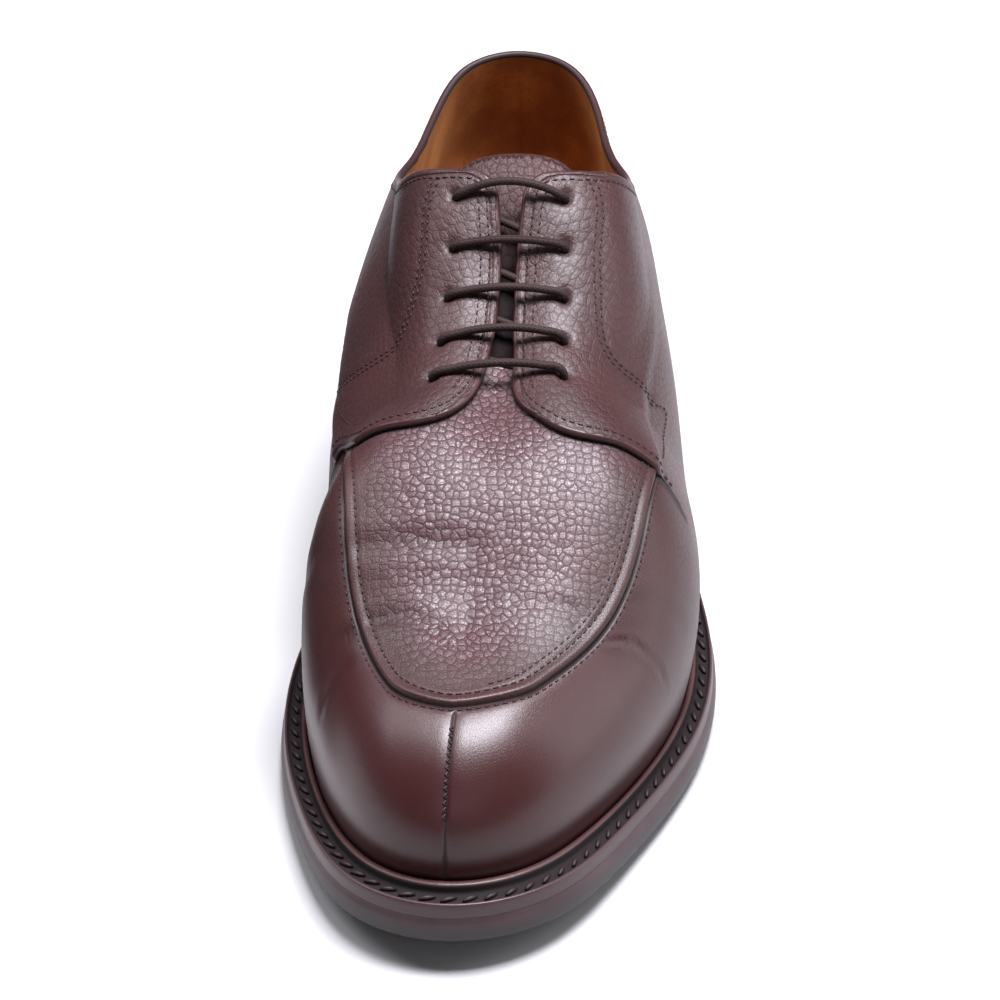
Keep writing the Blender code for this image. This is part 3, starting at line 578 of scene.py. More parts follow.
leather = grained_leather("burgundy pebble-grain calf", 1.45, 0.12)
tongue_leather = grained_leather("burgundy tongue leather", 1.32, 0.02)     # unwaxed, so it stays dull

# %% Lining leather
# vegetable-tanned calf without dye or wax: dry, warm and matt, with clouds where feet rubbed it
lining_leather, shader = new_material("undyed lining leather", Roughness=0.75, IOR=1.45, Sheen_Weight=0.25,
                                      Sheen_Tint=colour("#e0a468"))
node = partial(add_node, lining_leather)
back_seam = node("Attribute", output="Fac", attribute_name="back_seam")
base = dye(
    lining_leather, colour("#824a20"),
    (node("MapRange", mottle(lining_leather, 18.0, 3.0), 0.3, 0.75, **EASED), "#b4783f"),
    (node("MapRange", mottle(lining_leather, 1.1), 0.45, 0.8, 0.0, 0.35, **EASED), "#5a3012"),
    (node("Math", back_seam, 0.15, **TIMES), "#3a2010"),
)
dress(lining_leather, shader, base, mottle(lining_leather, 0.6, 3.0), 0.08)

# %% Welt leather
# a cut strip of firm leather, inked and waxed: semi-gloss on its lip and rim, dull in the groove; the groove
# and the foot of the lip are painted with shade
welt_leather, shader = new_material("storm welt leather", IOR=1.5)
node = partial(add_node, welt_leather)
across = node("Attribute", output="Fac", attribute_name="across")
in_groove = node("Math", node("MapRange", across, 0.25, 0.29, **EASED),
                 node("MapRange", across, 0.90, 0.86, **EASED), **TIMES)
base = dye(
    welt_leather, colour("#4b3131"),
    (node("MapRange", mottle(welt_leather, 12.0), 0.3, 0.7, **EASED), "#5a3e3c"),
    # painted shade: the stitched groove goes near-black
    (in_groove, "#160a0c"),
    # painted shade in the corner where the lip meets the upper
    (node("MapRange", across, 0.05, 0.0, **EASED), "#150a0a"),      # where the lip meets the upper
    (node("MapRange", across, 0.88, 0.93, **EASED), "#432e30"),     # the rim
)
dress(welt_leather, shader, base, mottle(welt_leather, 0.8, 3.0), 0.05,
      Roughness=node("MapRange", in_groove, 0.0, 1.0, 0.4, 0.9, **EASED))

# %% Rubber of the sole and heel
# moulded rubber with a sanded and inked edge: even and half matt, browner towards the welt
sole_rubber, shader = new_material("sole rubber, burnished edge", Roughness=0.5, IOR=1.5)
node = partial(add_node, sole_rubber)
down = node("Attribute", output="Fac", attribute_name="down")
base = dye(
    sole_rubber, colour("#463134"),
    (node("MapRange", mottle(sole_rubber, 10.0, 3.0), 0.3, 0.7, **EASED), "#3b282b"),
    (node("MapRange", down, 4.6, 9.0, **EASED), "#241d1f"),
    (node("MapRange", mottle(sole_rubber, 0.5), 0.55, 0.8, 0.0, 0.3, **EASED), "#453639"),
)
dress(sole_rubber, shader, base, mottle(sole_rubber, 0.5), 0.05)
heel_rubber, shader = new_material("heel rubber", Roughness=0.55, IOR=1.5)
dress(heel_rubber, shader, colour("#1c1618"), mottle(heel_rubber, 0.5), 0.05)

# %% Thread and lace
# linen and cotton are twisted or braided, then drawn through wax, which leaves them dark and a bit dull
thread, _ = new_material("waxed linen thread", Base_Color=colour("#28151a"), Roughness=0.5, IOR=1.5)
welt_thread, _ = new_material("thick waxed welt thread", Base_Color=colour("#26161a"), Roughness=0.6, IOR=1.5)
BRAID_PITCH, BRAID_STRANDS = 1.3, 6.0
waxed_cotton, shader = new_material("round waxed cotton lace", Roughness=0.68, IOR=1.36, Sheen_Weight=0.05,
                                    Sheen_Tint=colour("#b9a3a4"))
node = partial(add_node, waxed_cotton)
cord_along, cord_turn = (node("Attribute", output="Fac", attribute_name=name) for name in ("along", "turn"))
cord_along = node("Math", cord_along, 2 * math.pi / BRAID_PITCH, **TIMES)
strands = (
    node("Math", node("Math", cord_turn, turns, cord_along, **TIMES_PLUS), operation="SINE")
    for turns in (BRAID_STRANDS, -BRAID_STRANDS)
)
braid = node("Math", *strands, operation="MAXIMUM")
base = dye(waxed_cotton, colour("#231413"), (node("MapRange", braid, 0.2, 1.0, **EASED), "#33201e"))
dress(waxed_cotton, shader, base, braid, 0.025)
print("materials:", ", ".join(m.name for m in (leather, tongue_leather, lining_leather, welt_leather,
                                               sole_rubber, heel_rubber, thread, welt_thread, waxed_cotton)))


# %% [markdown]
# ## Laying leather on the last
#
# Every leather piece starts as a flat grid, and each of its vertices is then set on the
# map. That is how a pattern cutter thinks: a flat skin, pulled over the form. Levels above or
# below the last make the raised seam, the step of the quarters, the dips under
# stitches and the walking creases.

# %% Grids and finished pieces
def lay_grid(bm, places):
    """A grid whose vertices are set at places, an array of columns and rows. It returns them."""
    columns, rows = places.shape[:2]
    made = bmesh.ops.create_grid(bm, x_segments=columns - 1, y_segments=rows - 1, size=1)
    order = sorted(made["verts"], key=lambda v: (round(v.co.x * columns), round(v.co.y * rows)))
    grid = np.empty(len(order), object)
    grid[:] = order
    grid = grid.reshape(columns, rows)
    spots = world(places)
    for i in range(columns):
        for j in range(rows):
            grid[i, j].co = spots[i, j]
    return grid


def new_skin(*names):
    """An empty mesh with room for a few numbers at each vertex."""
    bm = bmesh.new()
    for name in names:
        bm.verts.layers.float.new(name)
    return bm


def paint(bm, grid, **numbers):
    """Stores numbers at each vertex of a grid, for a material to read."""
    for name, values in numbers.items():
        layer = bm.verts.layers.float[name]
        for vertex, value in zip(grid.ravel(), np.broadcast_to(values, grid.shape).ravel()):
            vertex[layer] = value


def finish_piece(name, bm, material, slot, *nodes, sharp=180):
    """Merges doubles, shades smooth, and hangs the piece on the frame."""
    bmesh.ops.remove_doubles(bm, verts=bm.verts, dist=1e-7)
    bmesh.ops.recalc_face_normals(bm, faces=bm.faces)
    mesh = bpy.data.meshes.new(name)
    bm.to_mesh(mesh)
    bm.free()
    mesh.shade_smooth()
    mesh.set_sharp_from_angle(angle=math.radians(sharp))
    mesh.materials.append(material)
    piece = new_object(name, mesh)
    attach(piece, "root")
    if nodes:
        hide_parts(*nodes)
    print(f"{name}: {len(mesh.polygons)} faces, {mesh.attributes.domain_size('POINT')} vertices")
    return piece


def spread(*parts):
    """Places between 0 and the last part's end, as (end, how many) parts."""
    places, start = [np.zeros(1)], 0.0
    for end, count in parts:
        places.append(np.linspace(start, end, count + 1)[1:])
        start = end
    return np.concatenate(places)


# %% [markdown]
# ## Creases and rows of stitches
#
# A worn shoe folds across the ball of the foot, and each fold is a soft trough with a
# fuller roll beside it. The folds here are placed one by one. A row of stitches pulls the
# leather down in the same way, only narrower. Both are kept as lines on the map, and the
# leather's level is lowered by its distance from them.

# %% Places of creases and decorative seams
CREASE_SPACING = 1.5
CREASES = (
    # (w, up) along it, then depth and width in millimetres
    (((-3.90, 50), (-3.85, 56), (-3.80, 63), (-3.72, 69), (-3.52, 74), (-3.3, 78)), 0.55, 2.6),
    (((-3.35, 34), (-3.25, 40), (-3.16, 46), (-3.05, 52), (-2.75, 57), (-2.2, 61)), 0.42, 1.8),
    (((-3.05, 50), (-2.72, 54), (-2.3, 57.5), (-1.6, 61), (-0.6, 63)), 0.22, 0.9),
    (((3.04, 42), (3.18, 39.5), (3.26, 35), (3.32, 29.5), (3.40, 20.5)), 0.38, 0.7),
    (((3.45, 47), (3.62, 43), (3.75, 37), (3.85, 30)), 0.15, 2.0),
    (((-4.35, 30), (-4.2, 38), (-4.1, 46), (-4.05, 53)), 0.35, 2.6),
    (((3.0, 50), (3.1, 54), (3.0, 60), (2.8, 64)), 0.2, 1.6),
    (((-2.95, 22), (-3.0, 29), (-2.95, 36)), 0.25, 1.6),
)
QUARTER_SEAM = {
    # (w, up) of the outer of two rows, from the collar down to the flap's lower corner
    1: ((6.95, 99), (6.88, 96.3), (6.52, 90.3), (6.14, 83), (5.92, 79), (5.80, 75), (5.77, 70),
        (5.78, 61), (5.76, 56.5)),
    -1: ((-6.95, 102), (-6.90, 100), (-6.60, 93.2), (-6.28, 85.3), (-6.10, 79), (-6.02, 74), (-6.06, 64),
         (-6.30, 50), (-6.40, 46)),
}


def line_on_skin(line, spacing=0.8):
    """Evenly spaced (w, up) places along a smooth line through a few."""
    knots = np.asarray(line, float)
    reach = lengths_along(skin(*knots.T))
    fine = spline(reach, knots)(np.linspace(0, reach[-1], max(2, int(reach[-1] * 4))))
    lengths = lengths_along(skin(*fine.T))
    even = np.linspace(0, lengths[-1], max(2, round(lengths[-1] / spacing) + 1))
    return np.stack([np.interp(even, lengths, fine[:, k]) for k in (0, 1)], axis=1)


def distance_to(points, line):
    """Distance from each point to the nearest of a line's points."""
    nearest = np.full(points.shape[:-1], np.inf)
    for spot in skin(*line.T):
        nearest = np.minimum(nearest, np.linalg.norm(points - spot, axis=-1))
    return nearest


def crease_level(points):
    """How far the creases lower the leather, and how much darker they make its colour."""
    level, worn = np.zeros(points.shape[:-1]), np.zeros(points.shape[:-1])
    for line, depth, width in CREASES:
        spots = skin(*line_on_skin(line, CREASE_SPACING).T)
        off = np.linalg.norm(points[..., None, :] - spots, axis=-1)
        nearest, gap = off.argmin(axis=-1), off.min(axis=-1)
        fade = np.sin(np.pi * np.clip((nearest + 0.5) / len(spots), 0.08, 0.92)) ** 0.5
        roll = 0.35 * np.exp(-(((gap - 2.2 * width) / width) ** 2))
        level -= fade * depth * (np.exp(-((gap / width) ** 2)) - roll)
        worn = np.maximum(worn, fade * depth * np.exp(-((gap / (1.8 * width)) ** 2)))
    return level, worn


# %% [markdown]
# ## The vamp: side walls, raised seam and apron
#
# The apron is a separate skin, sewn to the side walls in a seam that stands up round the
# toe. Seen across it there is a dip under the outer row of stitches, a deep groove, the
# rolled edge of the apron and two more rows of stitches. SEAM_PROFILE is that section. The
# side walls meet in a short seam down the middle of the toe.

# %% Shape of the vamp
SEAM_PROFILE = table(
    "aside level",
    (-6, 0), (-3.4, 0), (-2.2, -0.05), (-1.5, -0.14), (-1.0, -0.25), (-0.55, -0.8), (-0.15, -0.5),
    (0.15, 0.35), (0.5, 0.72), (1.0, 0.84), (1.6, 0.74), (2.2, 0.52), (2.8, 0.3), (3.2, 0.26),
    (3.8, 0.3), (4.7, 0.2), (6, 0.08), (9, 0),
)
seam_profile = smooth(SEAM_PROFILE["aside"], SEAM_PROFILE["level"])
SEAM_BELOW, SEAM_ABOVE = 6.0, 9.0
FLAP_CORNER = {1: 4.66, -1: 5.5}            # the row at each quarter's lower front corner
WALL_ROWS, JOINED_ROWS, SEAM_CELLS, APRON_CELLS = 24, 21, 54, 36
APRON_END, APRON_TAIL = 128.0, 20.0         # the apron ends under the quarters, short of the tongue


def toe_seam_level(w, up):
    """The groove where the two side walls meet at the toe."""
    aside = skin(w, up)[..., 0] - skin(np.zeros_like(w), up)[..., 0]
    wide = np.exp(-((aside / 1.6) ** 2)) * 0.18 + np.exp(-((aside / 0.45) ** 2)) * 0.42
    ends = smoothstep(up, 1.0, 3.0) * (1 - smoothstep(up - read_map(map_seam, w), -3.0, -1.4))
    return -wide * ends * (np.abs(w) < 1)


def vamp_level(w, up):
    aside = up - read_map(map_seam, w)
    points = skin(w, up)
    creases, worn = crease_level(points)
    calm = 1 - 0.8 * np.exp(-((aside / 2.5) ** 2))
    return seam_profile(aside) + toe_seam_level(w, up) + creases * calm, worn


half_columns = spread((0.17, 12), (1.0, 30), (3.0, 54), (FLAP_CORNER[1], 42), (FLAP_CORNER[-1], 20), (6.1, 8))
vamp_w = np.concatenate([-half_columns[:0:-1], half_columns])
wall_share = np.linspace(0, 1, WALL_ROWS + 1)


def vamp_rows(w):
    """How far up a section the rows of the vamp lie."""
    seam, length = read_map(map_seam, w), read_map(map_length, w)
    below = np.outer(seam - SEAM_BELOW, wall_share)
    across = seam[:, None] + np.linspace(-SEAM_BELOW, SEAM_ABOVE, SEAM_CELLS + 1)[1:]
    ahead = np.outer(length - seam - SEAM_ABOVE, np.linspace(0, 1, APRON_CELLS + 1)[1:])
    return np.concatenate([below, across, (seam + SEAM_ABOVE)[:, None] + ahead], axis=1)


# %% [markdown]
# ## The quarters
#
# The quarters are the back half of the upper. Their front edges lie open over the vamp,
# which makes this shoe a derby. They are cut from the same skin as the side walls, so they
# share vertices with the vamp below the seam and stand clear of it above. The edge of a
# quarter is folded, so a strip is rolled round it from front to back.

# %% Shape of the quarters
FLAP_STEP, FLAP_FADE, FLAP_RISE = 2.1, 2.2, 4.5
FLAP_EDGE = {
    # share of the way from the joined part to the facing, and the row w of the front edge there
    1: smooth((0, 0.24, 0.4, 0.5, 0.6, 0.85, 1), (4.66, 4.68, 4.72, 4.76, 4.78, 4.77, 4.80)),
    -1: smooth((0, 0.17, 0.27, 0.38, 0.46, 0.54, 0.84, 1), (5.5, 5.44, 5.24, 5.02, 4.91, 4.86, 4.86, 4.86)),
}
FLAP_OPENS = {1: 3.0, -1: 8.0}     # how far below the seam the flap comes away from the wall
THROAT_RADIUS, ROW_PITCH = {1: 7.0, -1: 11.0}, 25.0
EDGE_RADIUS, FRONT_BEND, QUARTER_ROWS = 1.05, 9.0, 7.3


def of_side(w, values):
    """The value for the side that each row lies on."""
    return np.where(np.asarray(w) > 0, values[1], values[-1])


def corner_row(w):
    return of_side(w, FLAP_CORNER)


def quarter_seam_up(w):
    """The line that parts the rows of a quarter: the apron's seam in front, then half way up."""
    at_corner = (read_map(map_seam, np.sign(w) * corner_row(w)) - SEAM_BELOW) * wall_share[JOINED_ROWS]
    away = smoothstep(np.abs(w) - corner_row(w), 0, 1.6)
    return at_corner * (1 - away) + 0.5 * read_map(map_edge, w) * away


def quarter_top(w):
    """The edge of the facing and the collar, rounded off at the throat."""
    front = of_side(w, {side: FLAP_EDGE[side](1.0) for side in (1, -1)})
    radius = of_side(w, THROAT_RADIUS)
    from_front = np.clip((np.abs(w) - front) * ROW_PITCH, 0, radius)
    drop = radius - np.sqrt(radius**2 - (radius - from_front) ** 2)
    return read_map(map_edge, w) - drop


def flap_level(w, up):
    """The quarters lie over the vamp in front, and settle on the last further back."""
    above_seam = up - read_map(map_seam, np.sign(w) * corner_row(w))
    fade = np.clip(1 - (np.abs(w) - corner_row(w)) / FLAP_FADE, 0, 1)
    opens = of_side(w, FLAP_OPENS)
    return FLAP_STEP * smoothstep(above_seam, -opens, FLAP_RISE - opens) * fade


front_bend = FRONT_BEND * (1 - np.cos(np.linspace(0, math.pi / 2, 13))) / ROW_PITCH / QUARTER_ROWS
half_shares = np.append(front_bend, front_bend[-1] + spread((0.12, 26), (1 - front_bend[-1], 170))[1:])
quarter_share = spread((0.88, 60), (1.0, 27))


def quarter_half(side):
    """w and up for one quarter, from its front edge to the middle of the heel."""
    shares = np.concatenate([np.zeros(JOINED_ROWS), quarter_share])
    front = FLAP_EDGE[side](shares)
    w = side * (front + np.outer(half_shares, HEEL_ROW - front))
    division = quarter_seam_up(w)
    up = division + (quarter_top(w) - division) * shares
    up[:, :JOINED_ROWS] = division[:, :JOINED_ROWS] * wall_share[:JOINED_ROWS] / wall_share[JOINED_ROWS]
    return w, up


halves = {side: quarter_half(side) for side in (1, -1)}
quarter_w = np.concatenate([halves[1][0], halves[-1][0][-2::-1]])
quarter_up = np.concatenate([halves[1][1], halves[-1][1][-2::-1]])
seam_lines = {side: line_on_skin(QUARTER_SEAM[side]) for side in (1, -1)}


def find_eyelet(side, s, aside):
    """Row and distance up of the place that lies aside from the ridge at s."""
    w, up = np.meshgrid(side * np.arange(4.4, 7.6, 0.01), np.arange(70, 112, 0.25), indexing="ij")
    points = skin(w, up)
    off = np.hypot(points[..., 1] - s, np.abs(points[..., 0] - ridge_x(s)) - aside)
    best = np.unravel_index(int(np.argmin(off)), off.shape)
    return w[best], up[best]


eyelet_rows = {
    (side, number): find_eyelet(side, s, aside)
    for side in (1, -1)
    for number, (s, aside) in enumerate(zip(EYELETS["s"], EYELETS["aside"]))
}
print("eyelets", {key: skin(*place).round(1).tolist() for key, place in eyelet_rows.items()})


def hole_level(points):
    """The punched eyelets: how far the leather dips into each, and how much painted shade fills it."""
    level, dark = np.zeros(points.shape[:-1]), np.zeros(points.shape[:-1])
    for place in eyelet_rows.values():
        off = np.linalg.norm(points - skin(*place), axis=-1)
        level -= 1.5 * np.exp(-((off / 1.5) ** 4)) + 0.35 * np.exp(-((off / 3.4) ** 2))
        # painted shade: near-black inside each eyelet hole
        dark = np.maximum(dark, np.exp(-((off / 1.45) ** 6)))
    return level, dark


def quarter_level(w, up):
    points = skin(w, up)
    below_edge = quarter_top(w) - up
    level = flap_level(w, up) - 0.25 * np.exp(-(((below_edge - 1.9) / 0.5) ** 2))
    for line in seam_lines.values():
        gap = distance_to(points, line)
        level = level - 0.22 * np.exp(-((gap / 0.9) ** 2)) - 0.12 * np.exp(-((gap / 3.5) ** 2))
    holes, dark = hole_level(points)
    creases, worn = crease_level(points)
    return level + holes + creases, dark, worn


# %% Build the outer skin
UNDER_FLAP, MATCH = 0.6, 1e-6
vamp_up = vamp_rows(vamp_w)
vamp_grid_w = np.repeat(vamp_w[:, None], vamp_up.shape[1], axis=1)
vamp_raise, vamp_worn = vamp_level(vamp_grid_w, vamp_up)
under_flap = np.abs(vamp_grid_w) > corner_row(vamp_grid_w) + MATCH
below_flap = np.minimum(vamp_raise, flap_level(vamp_grid_w, vamp_up) - UNDER_FLAP)
vamp_places = off_skin(vamp_grid_w, vamp_up, np.where(under_flap, below_flap, vamp_raise))
vamp_places[:, -1] = (vamp_places[:, -1] + vamp_places[::-1, -1]) / 2

quarter_raise, quarter_hole_shade, quarter_worn = quarter_level(quarter_w, quarter_up)
quarter_out = outward(quarter_w, quarter_up)
quarter_places = skin(quarter_w, quarter_up) + quarter_out * quarter_raise[..., None]
for side, column in ((1, 0), (-1, -1)):
    shared = int(np.argmin(np.abs(vamp_w - side * FLAP_CORNER[side])))
    quarter_places[column, :JOINED_ROWS + 1] = vamp_places[shared, :JOINED_ROWS + 1]


# %% The folded edge
def away_from(path, out):
    """The direction square to a path, in the leather."""
    return unit(np.cross(out, np.gradient(path, axis=0)))


def roll_strip(path, out, full):
    """Rings round a folded edge: path is its line, out the leather's direction, full its size."""
    away = away_from(path, out)
    radius = (EDGE_RADIUS * full)[:, None]
    rings = [
        path + away * radius * math.sin(angle) - out * radius * (1 - math.cos(angle))
        for angle in np.linspace(0, math.pi, 11)
    ]
    rings.append(rings[-1] - away * radius * 2.0)
    return np.stack(rings, axis=1)


front_rows = slice(JOINED_ROWS, None)
front_count = quarter_raise.shape[1] - JOINED_ROWS
edge_path, edge_out = (
    np.concatenate([values[0, front_rows], values[1:-1, -1], values[-1, front_rows][::-1]])
    for values in (quarter_places, quarter_out)
)
edge_full = np.ones(len(edge_path))
edge_full[:front_count] = smoothstep(quarter_raise[0, front_rows] / FLAP_STEP, 0.05, 0.7)
edge_full[-front_count:] = smoothstep(quarter_raise[-1, front_rows] / FLAP_STEP, 0.05, 0.7)[::-1]
edge_places = roll_strip(edge_path, edge_out, edge_full)
front_edge = np.concatenate([edge_path[:front_count + 20], edge_path[-front_count - 20:]])
# painted shade on the vamp just below the quarters' folded front edges
shade_under_edge = np.min([np.linalg.norm(vamp_places - spot, axis=-1) for spot in front_edge], axis=0)
shade_under_edge = np.exp(-((shade_under_edge / 2.7) ** 4))

# %% Build the outer skin
bm = new_skin(*HIDE_NUMBERS)
vamp_grid = lay_grid(bm, vamp_places)
quarter_grid = lay_grid(bm, quarter_places)
edge_grid = lay_grid(bm, edge_places)
vamp_aside = vamp_up - read_map(map_seam, vamp_grid_w)
vamp_s = vamp_places[..., 1]
is_wall = vamp_aside < -0.6
apron_pebble = (0.5 + 0.5 * smoothstep(vamp_aside, 6, 20)) * smoothstep(vamp_aside, 3.2, 6.5)
wall_pebble = 0.4 * smoothstep(-vamp_aside, 5, 14) * smoothstep(vamp_s, 70, 110)
# a dark line down the toe seam, painted into the same shade number
toe_line = np.exp(-(((vamp_places[..., 0] - skin(0.0, vamp_up)[..., 0]) / 0.35) ** 2))
toe_line *= (np.abs(vamp_grid_w) < 0.3) & (vamp_aside < -0.5)
# painted shade along the bottom of the groove beside the apron's raised seam
seam_groove_shade = np.exp(-(((vamp_aside + 0.55) / 0.5) ** 2))
ridge_s = np.linspace(0, 200, 401)
ridge_reach = lengths_along(np.stack([ridge_s, ridge(ridge_s)], axis=1))


def wall_across(w):
    """Place along the walls on the flat hide, well clear of the apron's."""
    return 300 + w * ROW_PITCH * 1.1


paint(
    bm, vamp_grid, pebble=apron_pebble * smoothstep(vamp_s, 24, 56) + wall_pebble,
    polish=(1 - smoothstep(vamp_s, 40, 95)) * (1 - smoothstep(vamp_aside, -2, 3)),
    shade=np.maximum(np.maximum(seam_groove_shade, shade_under_edge), 0.8 * toe_line), worn=vamp_worn,
    hide_across=np.where(is_wall, wall_across(vamp_grid_w), vamp_places[..., 0]),
    hide_along=np.where(is_wall, vamp_up, np.interp(vamp_s, ridge_s, ridge_reach)),
)
upper_half = smoothstep(quarter_up / quarter_top(quarter_w), 0.35, 0.7)
paint(
    bm, quarter_grid, pebble=(0.26 + 0.2 * upper_half) * (1 - 0.4 * smoothstep(np.abs(quarter_w), 6.6, 8.5)),
    polish=0.25, shade=quarter_hole_shade, worn=quarter_worn, hide_across=wall_across(quarter_w),
    hide_along=quarter_up,
)
# painted shade on the back and underside of the rolled edge, where it turns under
paint(bm, edge_grid, polish=0.5, shade=np.linspace(-0.6, 1.4, edge_places.shape[1])[None, :].clip(0, 1))
cut_away = under_flap & (np.arange(vamp_up.shape[1]) < JOINED_ROWS - 1)
cut_away |= (vamp_s > APRON_END) & (vamp_aside > APRON_TAIL)
bmesh.ops.delete(bm, geom=list(vamp_grid[cut_away]), context="VERTS")
upper_skin = finish_piece("upper_skin", bm, leather, "grain_leather", "upper")

# %% [markdown]
# ## Lining, sock and tongue
#
# The inside is lined with undyed leather, glued behind the outer skin and turned in with
# its edge. The tongue lies under both facings, a little deeper at every row.

# %% Lining and sock
LINING_DEPTH, SOCK_MARGIN, SOCK_TOP, SEAT_DEPTH = 2.1, -2.2, 0.6, 3.7
LINING_ROWS = 5.7            # the front part of the lining ends here, under the quarters
bm = new_skin("back_seam")
back_w, back_up = quarter_w[::2, ::3], quarter_up[::2, ::3]
back_grid = lay_grid(bm, off_skin(back_w, back_up, flap_level(back_w, back_up) - LINING_DEPTH))
from_heel = skin(back_w, back_up)[..., 0] - skin(np.full_like(back_w, HEEL_ROW), back_up)[..., 0]
on_seam = (np.abs(back_w) > HEEL_BLEND_ROW) & (back_up < read_map(map_edge, back_w) - 2)
paint(bm, back_grid, back_seam=np.exp(-((from_heel / 0.5) ** 2)) * on_seam)
front_w, front_share = np.meshgrid(np.linspace(-LINING_ROWS, LINING_ROWS, 115), np.linspace(0, 1, 41),
                                   indexing="ij")
front_up = front_share * read_map(map_length, front_w)
front_places = off_skin(front_w, front_up, -LINING_DEPTH)
front_places[:, -1] = (front_places[:, -1] + front_places[::-1, -1]) / 2
front_grid = lay_grid(bm, front_places)
beyond_apron = (front_places[..., 1] > APRON_END) & (front_up > read_map(map_seam, front_w) + APRON_TAIL)
bmesh.ops.delete(bm, geom=list(front_grid[beyond_apron]), context="VERTS")
finish_piece("lining", bm, lining_leather, "lining_leather")


def ring_of(stations, margin, height):
    """Points (x, s, z) outside the foot line; margin and height are numbers or depend on s."""
    point, out = foot_outward(stations)
    s = point[:, 1]
    margin, height = (np.broadcast_to(f(s) if callable(f) else f, s.shape) for f in (margin, height))
    return np.column_stack([point + out * margin[:, None], height])


def whole_stations(count):
    """Places all round the foot line, from the heel by the inner side to the toe and back."""
    half = np.linspace(0, HEEL_ROW, count)
    return np.concatenate([-half[:0:-1], half[:-1]])


def heel_stations(count):
    """Places round the heel, from the breast on the inner side to that on the outer."""
    half = np.linspace(HEEL_BREAST, HEEL_ROW, count)
    return np.concatenate([-half[:-1], half[::-1]])


def loft(bm, stations, profile):
    """Rings round the foot, joined into a wall, with the first and the last filled across."""
    rings = np.stack([ring_of(stations, margin, height) for margin, height in profile], axis=1)
    wall = lay_grid(bm, np.concatenate([rings, rings[:1]]))
    count = len(stations)
    partner = (count - 1 - np.arange(count)) if count % 2 else (-np.arange(count)) % count
    for ring in (rings[:, 0], rings[:, -1]):
        across = np.linspace(0, 1, 25)[:, None]
        lay_grid(bm, np.stack([ring[k] * (1 - across) + ring[partner[k]] * across
                               for k in range(count // 2 + 1)]))
    return wall, rings


bm = bmesh.new()
loft(bm, whole_stations(140), [
    (SOCK_MARGIN, lambda s: rim(s) - SOCK_TOP), (SOCK_MARGIN, lambda s: rim(s) - SEAT_DEPTH),
])
finish_piece("sock", bm, lining_leather, "lining_leather", "insole", sharp=40)

# %% Tongue
TONGUE = table(
    "row depth half",
    (4.55, 2.45, 14), (4.85, 2.45, 16), (5.1, 4.1, 19), (5.6, 4.5, 21), (6.2, 5.0, 23),
    (6.8, 5.6, 24), (7.1, 5.9, 20),
)
tongue_depth = smooth(TONGUE["row"], TONGUE["depth"])
tongue_half = smooth(TONGUE["row"], TONGUE["half"])


def tongue_face(rows, shares):
    """The tongue's outer face: across each row a smooth curve through eight points."""
    knots = np.array([-1, -0.8, -0.6, -0.35, 0.35, 0.6, 0.8, 1])
    w = np.sign(knots) * rows[:, None]
    up = read_map(map_length, w) - np.abs(knots) * tongue_half(rows)[:, None]
    places = off_skin(w, up, -tongue_depth(rows)[:, None])
    return np.stack([spline(knots, row)(shares) for row in places])


tongue_rows = np.linspace(TONGUE["row"][0], TONGUE["row"][-1], 90)
tongue_shares = np.linspace(-1, 1, 61)
tongue_outer = tongue_face(tongue_rows, tongue_shares)
top, right_edge = len(tongue_rows) - 1, len(tongue_shares) - 1
for j, share in enumerate(tongue_shares):
    rounded = np.linspace(0, 1 - 0.10 * abs(share) ** 5, top + 1) * top
    tongue_outer[:, j] = spline(np.arange(top + 1), tongue_outer[:, j])(rounded)
tongue_out = unit(np.cross(np.gradient(tongue_outer, axis=1), np.gradient(tongue_outer, axis=0)))
rim_cells = tuple(np.transpose([
    *((k, 0) for k in range(top)), *((top, j) for j in range(right_edge)),
    *((k, right_edge) for k in range(top, -1, -1)),
]))
tongue_rim, tongue_rim_out = tongue_outer[rim_cells], tongue_out[rim_cells]
print("top of the tongue:", tongue_outer[-1, 30].round(1))
bm = new_skin(*HIDE_NUMBERS)
tongue_grid = lay_grid(bm, tongue_outer)
# painted shade over the tongue where it lies deep between the facings, fading out between rows 6.2 and 6.7
paint(bm, tongue_grid, pebble=0.5, shade=(1 - smoothstep(tongue_rows, 6.2, 6.7))[:, None],
      hide_across=tongue_outer[..., 0], hide_along=tongue_rows[:, None] * ROW_PITCH)
lay_grid(bm, roll_strip(tongue_rim, tongue_rim_out, np.ones(len(tongue_rim))))
lay_grid(bm, tongue_outer - tongue_out * 2 * EDGE_RADIUS)
tongue_skin = finish_piece("tongue_skin", bm, tongue_leather, "tongue_leather", "tongue")

# %% [markdown]
# ## Welt, sole and heel
#
# A storm welt has a lip that stands up against the upper and keeps water out. Beside the
# lip runs a groove, where thick waxed thread sews the welt to the sole. Below are the
# rubber sole with its rounded side, the heel block and the top piece.

# %% Storm welt
WELT_SECTION = table(
    "share rise",
    (0.0, -3.7), (0.0, -0.6), (0.03, 0.25), (0.09, 0.65), (0.17, 0.85), (0.25, 0.7), (0.29, 0.1),
    (0.32, -1.1), (0.37, -1.5), (0.56, -1.7), (0.76, -1.6), (0.83, -1.2), (0.87, -0.4), (0.905, -0.05),
    (0.935, 0.0), (0.965, -0.1), (0.99, -0.45), (1.01, -1.2), (1.02, -2.4), (1.03, -3.7),
)
welt_knots = np.arange(len(WELT_SECTION["share"]))
welt_share, welt_rise = (
    smooth(welt_knots, WELT_SECTION[column])(np.linspace(0, welt_knots[-1], 58))
    for column in ("share", "rise")
)
bm = new_skin("across")
stations = whole_stations(330)
rings = [
    ring_of(stations, lambda s: 0.1 + share * (welt_margin(s) - 0.1), lambda s: rim(s) + rise)
    for share, rise in zip(welt_share, welt_rise)
]
